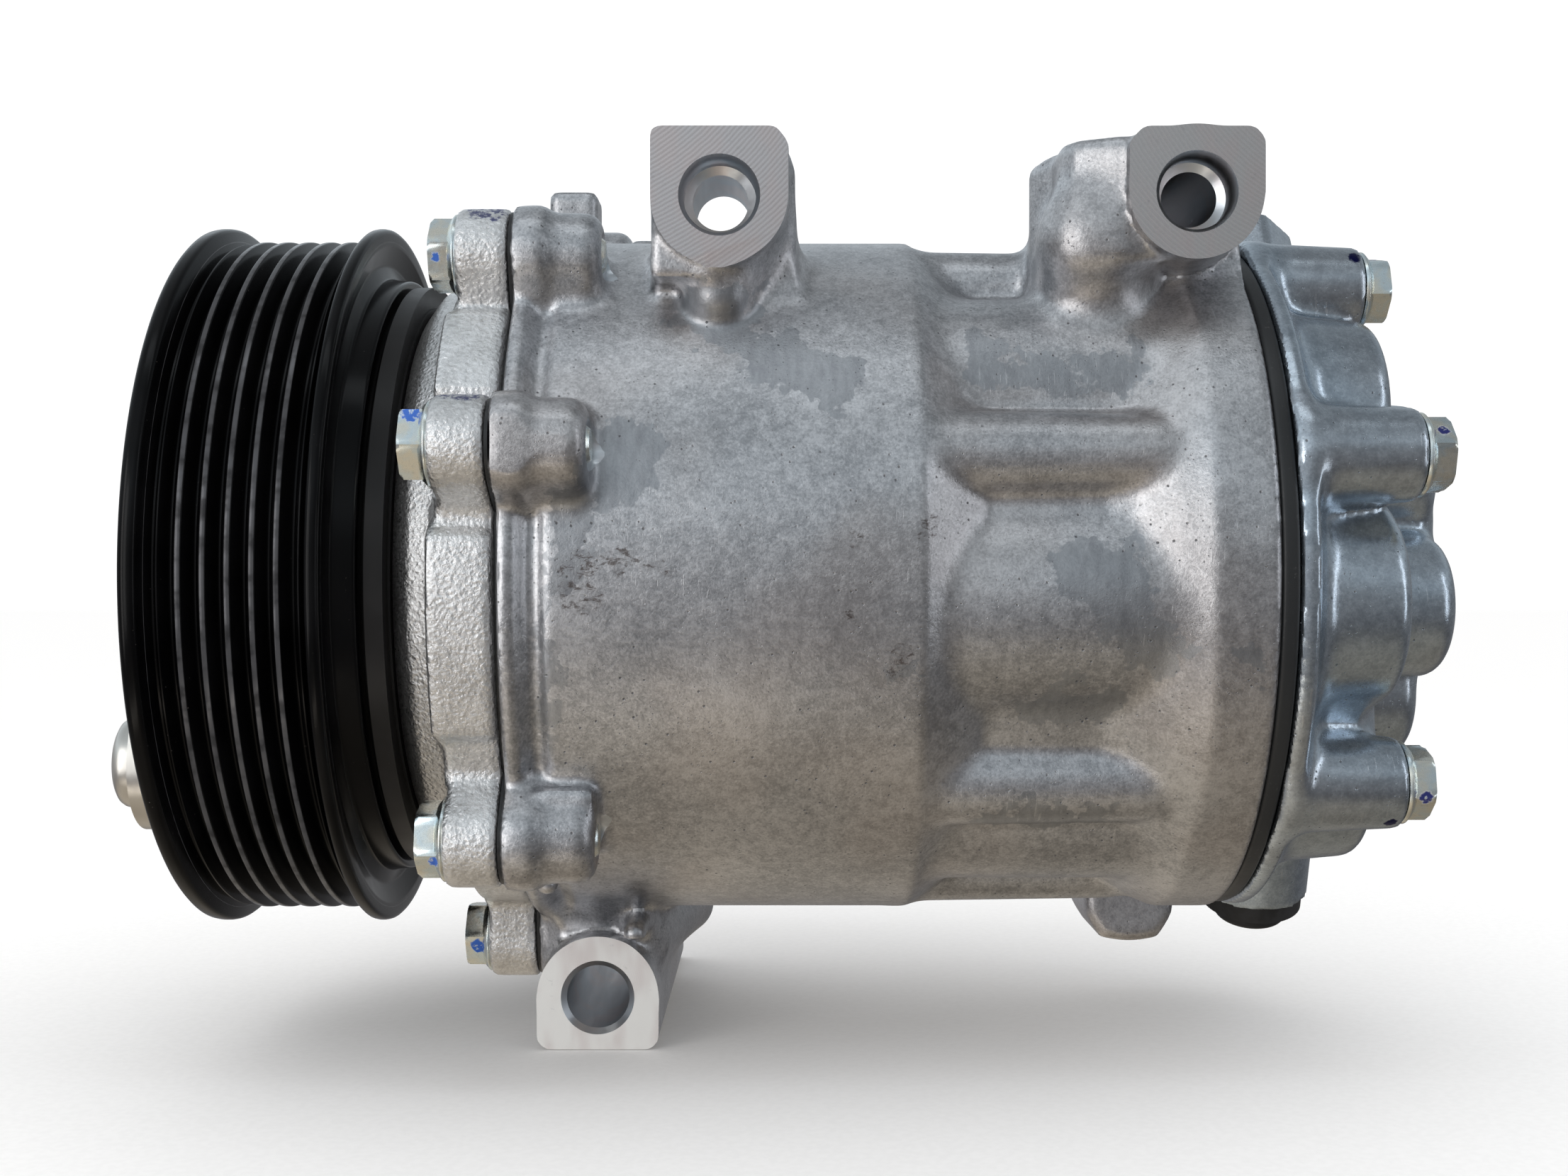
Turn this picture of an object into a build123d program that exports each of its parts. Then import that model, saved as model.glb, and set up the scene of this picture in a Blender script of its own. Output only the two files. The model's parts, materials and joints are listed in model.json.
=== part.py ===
from build123d import *
import os
from math import cos, sin, radians

os.makedirs("parts", exist_ok=True)

# Seven-cylinder swash-plate compressor for a car's air conditioning, in millimetres.
# Frame: the shaft lies along X, from the clutch (-X) to the rear head (+X), and +Z is up.
# The origin is on the shaft axis, in the middle plane of the belt grooves.
# Angles on an end view count from the near side (-Y), upward.

# belt pulley
RIB_PITCH = 3.56
RIBS = 6
RIB_CREST_R = 57.2
RIB_DEPTH = 2.9
PULLEY_FRONT = -15.2
PULLEY_FLANGE_R = 59.4
PULLEY_FLANGE = 3.0
PULLEY_REAR = 13.6
SKIRT_R = 50.6
SKIRT_REAR = 17.0
ROTOR_FACE = -8.45
ROTOR_FACE_T = 5.0
ROTOR_WALL = 3.8
BEARING_OD_R = 27.5
BEARING_ID_R = 17.5
BEARING_FRONT = -6.0
BEARING_W = 20.0
BALL_R = 3.1
BALLS_PER_ROW = 18

# armature and hub
CUPS = 3
CUP_ANGLE = 76.0
CUP_PITCH_R = 43.0
CUP_R = 7.3
CUP_FRONT = -24.0
PLATE_T = 2.6
HUB_PLATE_REAR = -17.4
ARMATURE_FRONT = -12.9
ARMATURE_T = 4.0
HUB_CORE_R = 12.0

# castings along X
HOUSING_FRONT = 21.2
PAD_FRONT = 28.4
LOBE_FRONT = 30.2
JOINT = 38.3
BODY_FLANGE_REAR = 43.4
BOSS_REAR = 52.3
BLOCK_STEP = 100.8
RING_FRONT = 143.0
DECK = 152.3
HEAD_FRONT = 155.1
HEAD_FLANGE_REAR = 158.0
HEAD_LOBE_REAR = 173.7
HEAD_BOSS_REAR = 174.8
HEAD_TOP = 187.7

# castings across X
RIM_R = 56.2
PAD_R = 57.6
FLANGE_R = 58.2
BODY_R = 57.0
CAVITY_R = 51.5
VALLEY_R = 50.5
LOBE_R = 7.5
NOSE_R = 17.5
NOSE_BORE_R = 14.6

# six-millimetre screws: (radius, angle) of each front one, and the ring of rear ones
LONG_SCREWS = [
    (61.0, 53.9),
    (61.0, 17.4),
    (61.0, -40.9),
    (61.0, 110.0),
    (61.0, 163.0),
    (61.0, 217.0),
]
LOW_SCREW = (62.3, -88.0)
LOW_SCREW_LENGTH = 12.4
FRONT_SCREWS = LONG_SCREWS + [LOW_SCREW]
REAR_SCREW_R = 50.0
REAR_SCREW_ANGLES = (20.6, 69.4, 121.1, 172.5, 226.0, 319.8)
LOW_RIB_ANGLE = 275.4
SCREW_R = 3.0
SCREW_HOLE_R = 3.1
HEAD_FLAT_R = 5.0
HEAD_H = 3.2
WASHER_R = 6.4
WASHER_T = 1.2

# cylinders
CYLINDERS = 7
BORE_R = 14.65
BORE_PITCH_R = 36.5
BORE_ANGLE = -7.5
BLOCK_FACE = 98.0
STEP_ANGLE = 360.0 / CYLINDERS
PISTON_R = 14.6
PISTON_CROWN = 151.3
PISTON_SKIRT = 121.0
WOBBLE_BALL_X = 77.4
PISTON_BALL_X = 130.0
ROD_BALL_R = 4.8
ROD_R = 3.2
SOCKET_GAP = 0.05
SOCKET_MOUTH = 9.0

# shaft and drive
SHAFT_SPLINE_R = 7.0
SHAFT_SEAL_R = 8.0
SHAFT_FRONT_R = 9.5
SHAFT_LUG_R = 10.5
SHAFT_GUIDE_R = 9.0
SHAFT_REAR_R = 8.0
RUN = 0.05
GUIDE_ANGLE = 275.4
GUIDE_PITCH_R = 44.5
GUIDE_R = 3.5

# mounting ears: eyes bored along Y
EAR_HOLE_R = 4.25
EAR_MOUTH_R = 5.5
EAR_FACE_Y = -47.0
EAR_T = 20.0
EAR_TOP = 66.8
FRONT_EAR = (70.6, 56.5)
REAR_EAR = (142.1, 57.0)
LOW_EAR = (49.4, -70.2)
LOW_EAR_Y = -17.0
LOW_EAR_BACK = 60.0
LOW_EAR_HOLE_R = 5.2
LOW_EAR_FOOT = -78.8
LUG_EAR = (143.8, -59.2)
LUG_EAR_Y = (16.0, 36.0)
LUG_EAR_WALL = 4.0
LUG_DEPTH = LUG_EAR_Y[1] - LUG_EAR_Y[0] - LUG_EAR_WALL

# gas ports on the far upper side of the rear head
PORT_ANGLE = 121.1
PORT_FACE_R = 65.0
PORT_X = 166.0
PORT_OFFSET = 13.0
PORT_BLOCK = [(-8.7, 23), (8.7, 23), (8.7, -15.2), (2.4, -21.5), (-8.7, -21.5)]
PORT_STUD_R = 3.4
PORT_STUD_DEPTH = 9.5
SUCTION_R = 7.0
DISCHARGE_R = 5.5
PORT_DEPTH = 24.0


def across(x):
    """The plane square to the shaft at x: its sketches have Y across and Z up."""
    return Plane(origin=(x, 0, 0), x_dir=(0, 1, 0), z_dir=(1, 0, 0))


def at(radius, angle):
    """A point on an end view, from its radius and its angle."""
    return (-radius * cos(radians(angle)), radius * sin(radians(angle)))


def outline(*points):
    """A closed flat face through (x, radius) points, to be turned about the shaft."""
    with BuildSketch(Plane.XZ) as face:
        with BuildLine():
            Polyline(*points, close=True)
        make_face()
    return face.sketch


def ring(x0, x1, inner, outer):
    """The half section of a plain ring about the shaft."""
    return outline((x0, inner), (x1, inner), (x1, outer), (x0, outer))


def discs(x, spots, radius):
    """Equal circles on the plane at x, at (radius, angle) spots."""
    with BuildSketch(across(x)) as face:
        with Locations(*[at(*spot) for spot in spots]):
            Circle(radius)
    return face.sketch


def lobes(x, spots, tip, root, inset):
    """Pear-shaped bosses that grow from the rim out to the screws."""
    with BuildSketch(across(x)) as face:
        for radius, angle in spots:
            with BuildSketch(mode=Mode.PRIVATE) as pear:
                with Locations(at(radius, angle)):
                    Circle(tip)
                with Locations(at(radius - inset, angle)):
                    Circle(root)
                make_hull()
            add(pear.sketch)
    return face.sketch


def arc_slots(x, radius, arc, width):
    """Six curved slots in a ring, which keep the coil's magnetic field in the rotor."""
    with BuildSketch(across(x)) as face:
        for i in range(6):
            with BuildLine(mode=Mode.PRIVATE) as slot_line:
                CenterArc((0, 0), radius, 60.0 * i, arc)
            SlotArc(slot_line.edge(), width)
    return face.sketch


def screw(x, spot, length, facing):
    """A flanged hex screw: its seat at x, its shank along the facing direction."""
    with BuildPart() as one:
        with BuildSketch(across(x)):
            with Locations(at(*spot)):
                Circle(SCREW_R)
        extrude(amount=length * facing)
        with BuildSketch(across(x)):
            with Locations(at(*spot)):
                Circle(WASHER_R)
        extrude(amount=-WASHER_T * facing)
        with BuildSketch(across(x - WASHER_T * facing)):
            with Locations(at(*spot)):
                RegularPolygon(HEAD_FLAT_R, 6, major_radius=False, rotation=spot[1])
        extrude(amount=-HEAD_H * facing)
    return one.part


CUP_SPOTS = [(CUP_PITCH_R, CUP_ANGLE + 120.0 * i) for i in range(CUPS)]
BORE_SPOTS = [(BORE_PITCH_R, BORE_ANGLE + STEP_ANGLE * i) for i in range(CYLINDERS)]
REAR_SCREWS = [(REAR_SCREW_R, angle) for angle in REAR_SCREW_ANGLES]
BLOCK_RIBS = REAR_SCREWS + [(REAR_SCREW_R, LOW_RIB_ANGLE)]
GUIDE_SPOT = (GUIDE_PITCH_R, GUIDE_ANGLE)

# ---------------------------------------------------------------- clutch

NUT_SEAT = -15.0
NUT_H = 6.5
with BuildPart() as hub_nut:
    with BuildSketch(across(NUT_SEAT)):
        Circle(8.4)
    extrude(amount=-1.5)
    with BuildSketch(across(NUT_SEAT - 1.5)):
        RegularPolygon(6.5, 6, major_radius=False)
    extrude(amount=-(NUT_H - 1.5))
    chamfer(hub_nut.faces().sort_by(Axis.X)[0].edges(), 0.6)
    with BuildSketch(across(NUT_SEAT)):
        Circle(4.0)
    extrude(amount=-NUT_H, mode=Mode.SUBTRACT)
hub_nut.part.label = "hub_nut"
export_step(hub_nut.part, "parts/hub_nut.step")

SHIM_FRONT = -4.0
with BuildPart() as clutch_hub:
    revolve(ring(HUB_PLATE_REAR, SHIM_FRONT, SHAFT_SPLINE_R, HUB_CORE_R), axis=Axis.X)
    revolve(ring(HUB_PLATE_REAR, HUB_PLATE_REAR + 2.4, SHAFT_SPLINE_R, 20.0), axis=Axis.X)
    revolve(ring(HUB_PLATE_REAR, NUT_SEAT, 0, 9.0), axis=Axis.X, mode=Mode.SUBTRACT)
clutch_hub.part.label = "clutch_hub"
export_step(clutch_hub.part, "parts/clutch_hub.step")

with BuildPart() as hub_plate:
    with BuildSketch(across(HUB_PLATE_REAR)):
        with Locations(*[at(*spot) for spot in CUP_SPOTS]):
            Circle(10.5)
        Circle(24.0)
        make_hull()
        Circle(9.2, mode=Mode.SUBTRACT)
        with Locations(*[at(*spot) for spot in CUP_SPOTS]):
            Circle(CUP_R - 0.9, mode=Mode.SUBTRACT)
        with PolarLocations(30.0, CUPS, start_angle=180.0 - CUP_ANGLE + 60.0):
            Circle(4.0, mode=Mode.SUBTRACT)
    extrude(amount=-PLATE_T)
hub_plate.part.label = "hub_plate"
export_step(hub_plate.part, "parts/hub_plate.step")

CUP_BASE = HUB_PLATE_REAR - PLATE_T
with BuildPart() as damper_cups:
    extrude(discs(CUP_FRONT, CUP_SPOTS, CUP_R), amount=CUP_BASE - CUP_FRONT)
    fillet(damper_cups.faces().filter_by(Axis.X).sort_by(Axis.X)[0:CUPS].edges(), 1.6)
    extrude(discs(CUP_BASE, CUP_SPOTS, CUP_R - 0.9), amount=CUP_FRONT + 0.9 - CUP_BASE, mode=Mode.SUBTRACT)
damper_cups.part.label = "damper_cups"
export_step(damper_cups.part, "parts/damper_cups.step")

RIVET_R = 3.0
RUBBER_FRONT = CUP_FRONT + 1.4
with BuildPart() as damper_rubbers:
    extrude(discs(RUBBER_FRONT, CUP_SPOTS, CUP_R - 1.0), amount=HUB_PLATE_REAR - RUBBER_FRONT - 0.1)
    extrude(discs(RUBBER_FRONT, CUP_SPOTS, RIVET_R + RUN), amount=10, mode=Mode.SUBTRACT)
damper_rubbers.part.label = "damper_rubbers"
export_step(damper_rubbers.part, "parts/damper_rubbers.step")

with BuildPart() as armature_rivets:
    extrude(discs(ARMATURE_FRONT, CUP_SPOTS, RIVET_R), amount=RUBBER_FRONT + 0.3 - ARMATURE_FRONT)
    extrude(discs(ARMATURE_FRONT, CUP_SPOTS, RIVET_R + 1.8), amount=-3.6)
armature_rivets.part.label = "armature_rivets"
export_step(armature_rivets.part, "parts/armature_rivets.step")

with BuildPart() as armature_plate:
    revolve(ring(ARMATURE_FRONT, ARMATURE_FRONT + ARMATURE_T, 21.0, 50.5), axis=Axis.X)
    extrude(arc_slots(ARMATURE_FRONT, 36.0, 44.0, 2.4), amount=ARMATURE_T, mode=Mode.SUBTRACT)
armature_plate.part.label = "armature_plate"
export_step(armature_plate.part, "parts/armature_plate.step")

SHIM_T = 0.5
with BuildPart() as air_gap_shims:
    revolve(ring(SHIM_FRONT + 0.02, SHIM_FRONT + SHIM_T, SHAFT_SPLINE_R + RUN, 9.6), axis=Axis.X)
    revolve(ring(SHIM_FRONT + SHIM_T + 0.02, -3.0, SHAFT_SPLINE_R + RUN, 9.6), axis=Axis.X)
air_gap_shims.part.label = "air_gap_shims"
export_step(air_gap_shims.part, "parts/air_gap_shims.step")


def groove_points():
    """The rim's outline from its front flange over the vee grooves to its rear flange."""
    start = -RIBS * RIB_PITCH / 2
    points = [
        (PULLEY_FRONT + 0.6, PULLEY_FLANGE_R),
        (PULLEY_FRONT + PULLEY_FLANGE - 0.8, PULLEY_FLANGE_R),
        (start - 0.3, RIB_CREST_R - 0.2),
    ]
    for i in range(RIBS):
        left = start + i * RIB_PITCH
        points.append((left + 0.45, RIB_CREST_R))
        points.append((left + 1.52, RIB_CREST_R - RIB_DEPTH))
        points.append((left + RIB_PITCH - 1.52, RIB_CREST_R - RIB_DEPTH))
        points.append((left + RIB_PITCH - 0.45, RIB_CREST_R))
    points += [
        (-start + 0.3, RIB_CREST_R - 0.2),
        (PULLEY_REAR - 1.5, PULLEY_FLANGE_R),
        (PULLEY_REAR, PULLEY_FLANGE_R),
    ]
    return points


with BuildPart() as pulley:
    revolve(
        outline(
            (PULLEY_FRONT, SKIRT_R + 0.8),
            (PULLEY_FRONT, PULLEY_FLANGE_R - 0.6),
            *groove_points(),
            (PULLEY_REAR, SKIRT_R),
            (SKIRT_REAR, SKIRT_R),
            (SKIRT_REAR, SKIRT_R - ROTOR_WALL),
            (ROTOR_FACE + ROTOR_FACE_T, SKIRT_R - ROTOR_WALL),
            (ROTOR_FACE + ROTOR_FACE_T, BEARING_OD_R + ROTOR_WALL),
            (BEARING_FRONT + BEARING_W, BEARING_OD_R + ROTOR_WALL),
            (BEARING_FRONT + BEARING_W, BEARING_OD_R),
            (BEARING_FRONT, BEARING_OD_R),
            (BEARING_FRONT, BEARING_OD_R - 1.5),
            (ROTOR_FACE, BEARING_OD_R - 1.5),
            (ROTOR_FACE, SKIRT_R + 0.8),
        ),
        axis=Axis.X,
    )
    for slot_r in (34.5, 43.0):
        extrude(arc_slots(ROTOR_FACE, slot_r, 44.0, 2.0), amount=ROTOR_FACE_T, mode=Mode.SUBTRACT)
pulley.part.label = "pulley"
export_step(pulley.part, "parts/pulley.step")

RACE_T = 3.2
BEARING_MID = BEARING_FRONT + BEARING_W / 2
BALL_ROWS = (BEARING_MID - 4.6, BEARING_MID + 4.6)
BALL_PITCH_R = (BEARING_OD_R + BEARING_ID_R) / 2
BALL_TRACK_R = BALL_R + 0.08


def ball_track(x):
    """The doughnut that one row of balls rolls in."""
    with BuildPart() as track:
        with BuildSketch(Plane.XZ):
            with Locations((x, BALL_PITCH_R)):
                Circle(BALL_TRACK_R)
        revolve(axis=Axis.X)
    return track.part


BEARING_REAR = BEARING_FRONT + BEARING_W
with BuildPart() as pulley_bearing_outer_race:
    revolve(ring(BEARING_FRONT, BEARING_REAR, BEARING_OD_R - RACE_T, BEARING_OD_R - 0.01), axis=Axis.X)
    for row in BALL_ROWS:
        add(ball_track(row), mode=Mode.SUBTRACT)
pulley_bearing_outer_race.part.label = "pulley_bearing_outer_race"
export_step(pulley_bearing_outer_race.part, "parts/pulley_bearing_outer_race.step")

with BuildPart() as pulley_bearing_inner_race:
    revolve(ring(BEARING_FRONT, BEARING_REAR, BEARING_ID_R + 0.01, BEARING_ID_R + RACE_T), axis=Axis.X)
    for row in BALL_ROWS:
        add(ball_track(row), mode=Mode.SUBTRACT)
pulley_bearing_inner_race.part.label = "pulley_bearing_inner_race"
export_step(pulley_bearing_inner_race.part, "parts/pulley_bearing_inner_race.step")

with BuildPart() as pulley_bearing_balls:
    for row in BALL_ROWS:
        with Locations(across(row)):
            with PolarLocations(BALL_PITCH_R, BALLS_PER_ROW):
                Sphere(BALL_R)
pulley_bearing_balls.part.label = "pulley_bearing_balls"
export_step(pulley_bearing_balls.part, "parts/pulley_bearing_balls.step")

SEAL_GAP = 0.15
with BuildPart() as pulley_bearing_seals:
    for x in (BEARING_FRONT + 0.2, BEARING_REAR - 1.0):
        seal = ring(x, x + 0.8, BEARING_ID_R + RACE_T + SEAL_GAP, BEARING_OD_R - RACE_T - 0.02)
        revolve(seal, axis=Axis.X)
pulley_bearing_seals.part.label = "pulley_bearing_seals"
export_step(pulley_bearing_seals.part, "parts/pulley_bearing_seals.step")


def open_ring(x0, x1, inner, outer, gap_angle):
    """A snap ring: a flat ring with a gap."""
    with BuildPart() as clip:
        revolve(ring(x0, x1, inner, outer), axis=Axis.X)
        with BuildSketch(across(x0 - 1.0)):
            with Locations(at(outer, gap_angle)):
                Rectangle(10.0, 6.0, rotation=180.0 - gap_angle)
        extrude(amount=x1 - x0 + 2.0, mode=Mode.SUBTRACT)
    return clip.part


PULLEY_CLIP = (-7.3, -6.1)
with BuildPart() as pulley_snap_ring:
    add(open_ring(*PULLEY_CLIP, NOSE_R - 0.9, NOSE_R + 2.6, 60.0))
pulley_snap_ring.part.label = "pulley_snap_ring"
export_step(pulley_snap_ring.part, "parts/pulley_snap_ring.step")

COIL_OUTER_R = SKIRT_R - ROTOR_WALL - 0.7
COIL_INNER_R = BEARING_OD_R + ROTOR_WALL + 0.9
COIL_FRONT = ROTOR_FACE + ROTOR_FACE_T + 0.9
COIL_PLATE = 18.0
COIL_RIM_R = 49.6
SHOULDER_R = 24.0
with BuildPart() as coil_shell:
    revolve(
        outline(
            (COIL_FRONT, COIL_OUTER_R),
            (COIL_PLATE, COIL_OUTER_R),
            (COIL_PLATE, COIL_RIM_R),
            (HOUSING_FRONT - 0.4, COIL_RIM_R),
            (HOUSING_FRONT - 0.4, COIL_OUTER_R),
            (HOUSING_FRONT, COIL_OUTER_R),
            (HOUSING_FRONT, SHOULDER_R + 0.01),
            (COIL_PLATE, SHOULDER_R + 0.01),
            (COIL_PLATE, COIL_INNER_R),
            (COIL_FRONT, COIL_INNER_R),
            (COIL_FRONT, COIL_INNER_R + 1.8),
            (COIL_PLATE - 2.2, COIL_INNER_R + 1.8),
            (COIL_PLATE - 2.2, COIL_OUTER_R - 1.8),
            (COIL_FRONT, COIL_OUTER_R - 1.8),
        ),
        axis=Axis.X,
    )
coil_shell.part.label = "coil_shell"
export_step(coil_shell.part, "parts/coil_shell.step")

with BuildPart() as coil_winding:
    revolve(ring(COIL_FRONT + 0.8, COIL_PLATE - 2.3, COIL_INNER_R + 1.9, COIL_OUTER_R - 1.9), axis=Axis.X)
    fillet(coil_winding.edges(), 1.2)
coil_winding.part.label = "coil_winding"
export_step(coil_winding.part, "parts/coil_winding.step")

COIL_CLIP = (16.4, 17.9)
with BuildPart() as coil_snap_ring:
    add(open_ring(*COIL_CLIP, SHOULDER_R - 1.0, SHOULDER_R + 2.8, -60.0))
coil_snap_ring.part.label = "coil_snap_ring"
export_step(coil_snap_ring.part, "parts/coil_snap_ring.step")

# ---------------------------------------------------------------- front housing

FRONT_WALL = 27.0
NOSE_TIP = -7.8
SEAL_CLIP = (-0.6, 0.6)
NEEDLE_BORE_R = 14.0
NEEDLE_FRONT = 13.0
PAD_SPANS = ((26.5, 45.5), (-26.4, 6.9), (63.0, 101.0), (119.0, 154.0), (172.0, 208.0), (226.0, 262.0))


def rim_pad(x, first, last):
    """A stretch of the rim that stands a little proud, from the first angle to the last."""
    middle = (first + last) / 2
    with BuildSketch(across(x)) as face:
        with BuildLine():
            ThreePointArc(at(PAD_R, first + 2.5), at(PAD_R, middle), at(PAD_R, last - 2.5))
            Line(at(PAD_R, last - 2.5), at(RIM_R, last))
            Line(at(RIM_R, last), at(RIM_R - 8.0, last - 4.0))
            ThreePointArc(at(RIM_R - 8.0, last - 4.0), at(RIM_R - 8.0, middle), at(RIM_R - 8.0, first + 4.0))
            Line(at(RIM_R - 8.0, first + 4.0), at(RIM_R, first))
            Line(at(RIM_R, first), at(PAD_R, first + 2.5))
        make_face()
    return face.sketch


with BuildPart() as front_housing:
    revolve(
        outline(
            (NOSE_TIP, NOSE_BORE_R),
            (NOSE_TIP, NOSE_R - 0.5),
            (NOSE_TIP + 0.5, NOSE_R),
            (BEARING_REAR + 0.3, NOSE_R),
            (BEARING_REAR + 0.3, SHOULDER_R),
            (HOUSING_FRONT, SHOULDER_R),
            (HOUSING_FRONT, 45.0),
            (HOUSING_FRONT + 3.0, 49.0),
            (LOBE_FRONT - 1.5, 50.5),
            (LOBE_FRONT, 52.5),
            (LOBE_FRONT, RIM_R),
            (JOINT, RIM_R),
            (JOINT, 48.5),
            (FRONT_WALL + 2.0, 48.5),
            (FRONT_WALL, 46.0),
            (FRONT_WALL, NEEDLE_BORE_R),
            (NEEDLE_FRONT, NEEDLE_BORE_R),
            (NEEDLE_FRONT, NOSE_BORE_R),
        ),
        axis=Axis.X,
    )
    extrude(lobes(LOBE_FRONT, FRONT_SCREWS, LOBE_R - 0.5, 9.0, 11.0), amount=JOINT - LOBE_FRONT)
    for span in PAD_SPANS:
        extrude(rim_pad(PAD_FRONT, *span), amount=JOINT - 1.6 - PAD_FRONT)
    revolve(ring(FRONT_WALL + 2.0, JOINT, 0, 48.5), axis=Axis.X, mode=Mode.SUBTRACT)
    extrude(discs(PAD_FRONT, FRONT_SCREWS, SCREW_HOLE_R), amount=JOINT - PAD_FRONT, mode=Mode.SUBTRACT)
    extrude(discs(FRONT_WALL + 2.0, [GUIDE_SPOT], GUIDE_R), amount=-5.0, mode=Mode.SUBTRACT)
    revolve(ring(*PULLEY_CLIP, NOSE_R - 1.0, NOSE_R + 1.0), axis=Axis.X, mode=Mode.SUBTRACT)
    revolve(ring(*COIL_CLIP, SHOULDER_R - 1.1, SHOULDER_R + 1.0), axis=Axis.X, mode=Mode.SUBTRACT)
    revolve(ring(*SEAL_CLIP, 10.0, NOSE_BORE_R + 1.0), axis=Axis.X, mode=Mode.SUBTRACT)
front_housing.part.label = "front_housing"
export_step(front_housing.part, "parts/front_housing.step")

with BuildPart() as seal_snap_ring:
    add(open_ring(SEAL_CLIP[0] + 0.05, SEAL_CLIP[1] - 0.05, 11.0, NOSE_BORE_R + 0.9, 60.0))
seal_snap_ring.part.label = "seal_snap_ring"
export_step(seal_snap_ring.part, "parts/seal_snap_ring.step")

with BuildPart() as shaft_seal:
    revolve(
        outline(
            (1.0, NOSE_BORE_R - 0.02),
            (10.0, NOSE_BORE_R - 0.02),
            (10.0, 12.6),
            (4.6, 12.0),
            (8.6, SHAFT_SEAL_R + 0.06),
            (5.6, SHAFT_SEAL_R + 0.06),
            (1.0, 10.6),
        ),
        axis=Axis.X,
    )
shaft_seal.part.label = "shaft_seal"
export_step(shaft_seal.part, "parts/shaft_seal.step")


def needle_bearing(x0, x1, shaft_r, housing_r, needles):
    """A drawn cup with its needles standing round the shaft."""
    needle_r = (housing_r - 1.2 - shaft_r) / 2 - 0.08
    with BuildPart() as bearing:
        revolve(ring(x0, x1, housing_r - 1.1, housing_r - 0.01), axis=Axis.X)
        revolve(ring(x0, x0 + 0.9, shaft_r + 0.8, housing_r - 0.5), axis=Axis.X)
        revolve(ring(x1 - 0.9, x1, shaft_r + 0.8, housing_r - 0.5), axis=Axis.X)
        with BuildSketch(across(x0 + 1.2)):
            with PolarLocations(shaft_r + needle_r + 0.08, needles):
                Circle(needle_r)
        extrude(amount=x1 - x0 - 2.4)
    return bearing.part


with BuildPart() as front_needle_bearing:
    add(needle_bearing(NEEDLE_FRONT + 0.3, FRONT_WALL - 0.3, SHAFT_FRONT_R, NEEDLE_BORE_R, 18))
front_needle_bearing.part.label = "front_needle_bearing"
export_step(front_needle_bearing.part, "parts/front_needle_bearing.step")

LUG_FRONT = 30.0
with BuildPart() as front_thrust_bearing:
    revolve(ring(FRONT_WALL, FRONT_WALL + 0.8, 13.0, 24.0), axis=Axis.X)
    revolve(ring(LUG_FRONT - 0.85, LUG_FRONT - 0.05, 13.0, 24.0), axis=Axis.X)
    with Locations(across(FRONT_WALL + 1.475)):
        with PolarLocations(18.5, 20):
            Cylinder(0.62, 8.0, rotation=(0, 90, 0))
front_thrust_bearing.part.label = "front_thrust_bearing"
export_step(front_thrust_bearing.part, "parts/front_thrust_bearing.step")

GASKET_T = 0.5
with BuildPart() as housing_gasket:
    extrude(lobes(JOINT, FRONT_SCREWS, LOBE_R - 0.8, 9.0, 11.0), amount=GASKET_T)
    revolve(ring(JOINT, JOINT + GASKET_T, 30.0, RIM_R - 0.5), axis=Axis.X)
    revolve(ring(JOINT, JOINT + GASKET_T, 0, CAVITY_R), axis=Axis.X, mode=Mode.SUBTRACT)
    extrude(discs(JOINT, FRONT_SCREWS, SCREW_HOLE_R), amount=GASKET_T, mode=Mode.SUBTRACT)
housing_gasket.part.label = "housing_gasket"
export_step(housing_gasket.part, "parts/housing_gasket.step")

with BuildPart() as front_screws:
    for spot in LONG_SCREWS:
        add(screw(LOBE_FRONT, spot, BOSS_REAR + 0.5 - LOBE_FRONT, 1))
    add(screw(LOBE_FRONT, LOW_SCREW, LOW_SCREW_LENGTH, 1))
front_screws.part.label = "front_screws"
export_step(front_screws.part, "parts/front_screws.step")

# ---------------------------------------------------------------- drive

SHAFT_END = 138.0
with BuildPart() as drive_shaft:
    revolve(
        outline(
            (-22.6, 0),
            (-22.6, 3.4),
            (-22.0, 4.0),
            (-14.6, 4.0),
            (-14.6, SHAFT_SPLINE_R),
            (-3.0, SHAFT_SPLINE_R),
            (-3.0, SHAFT_SEAL_R),
            (12.6, SHAFT_SEAL_R),
            (12.6, SHAFT_FRONT_R),
            (LUG_FRONT, SHAFT_FRONT_R),
            (LUG_FRONT, SHAFT_LUG_R),
            (50.0, SHAFT_LUG_R),
            (50.0, SHAFT_GUIDE_R),
            (114.0, SHAFT_GUIDE_R),
            (114.0, SHAFT_REAR_R),
            (SHAFT_END - 0.8, SHAFT_REAR_R),
            (SHAFT_END, SHAFT_REAR_R - 0.8),
            (SHAFT_END, 0),
        ),
        axis=Axis.X,
    )
drive_shaft.part.label = "drive_shaft"
export_step(drive_shaft.part, "parts/drive_shaft.step")

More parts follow.
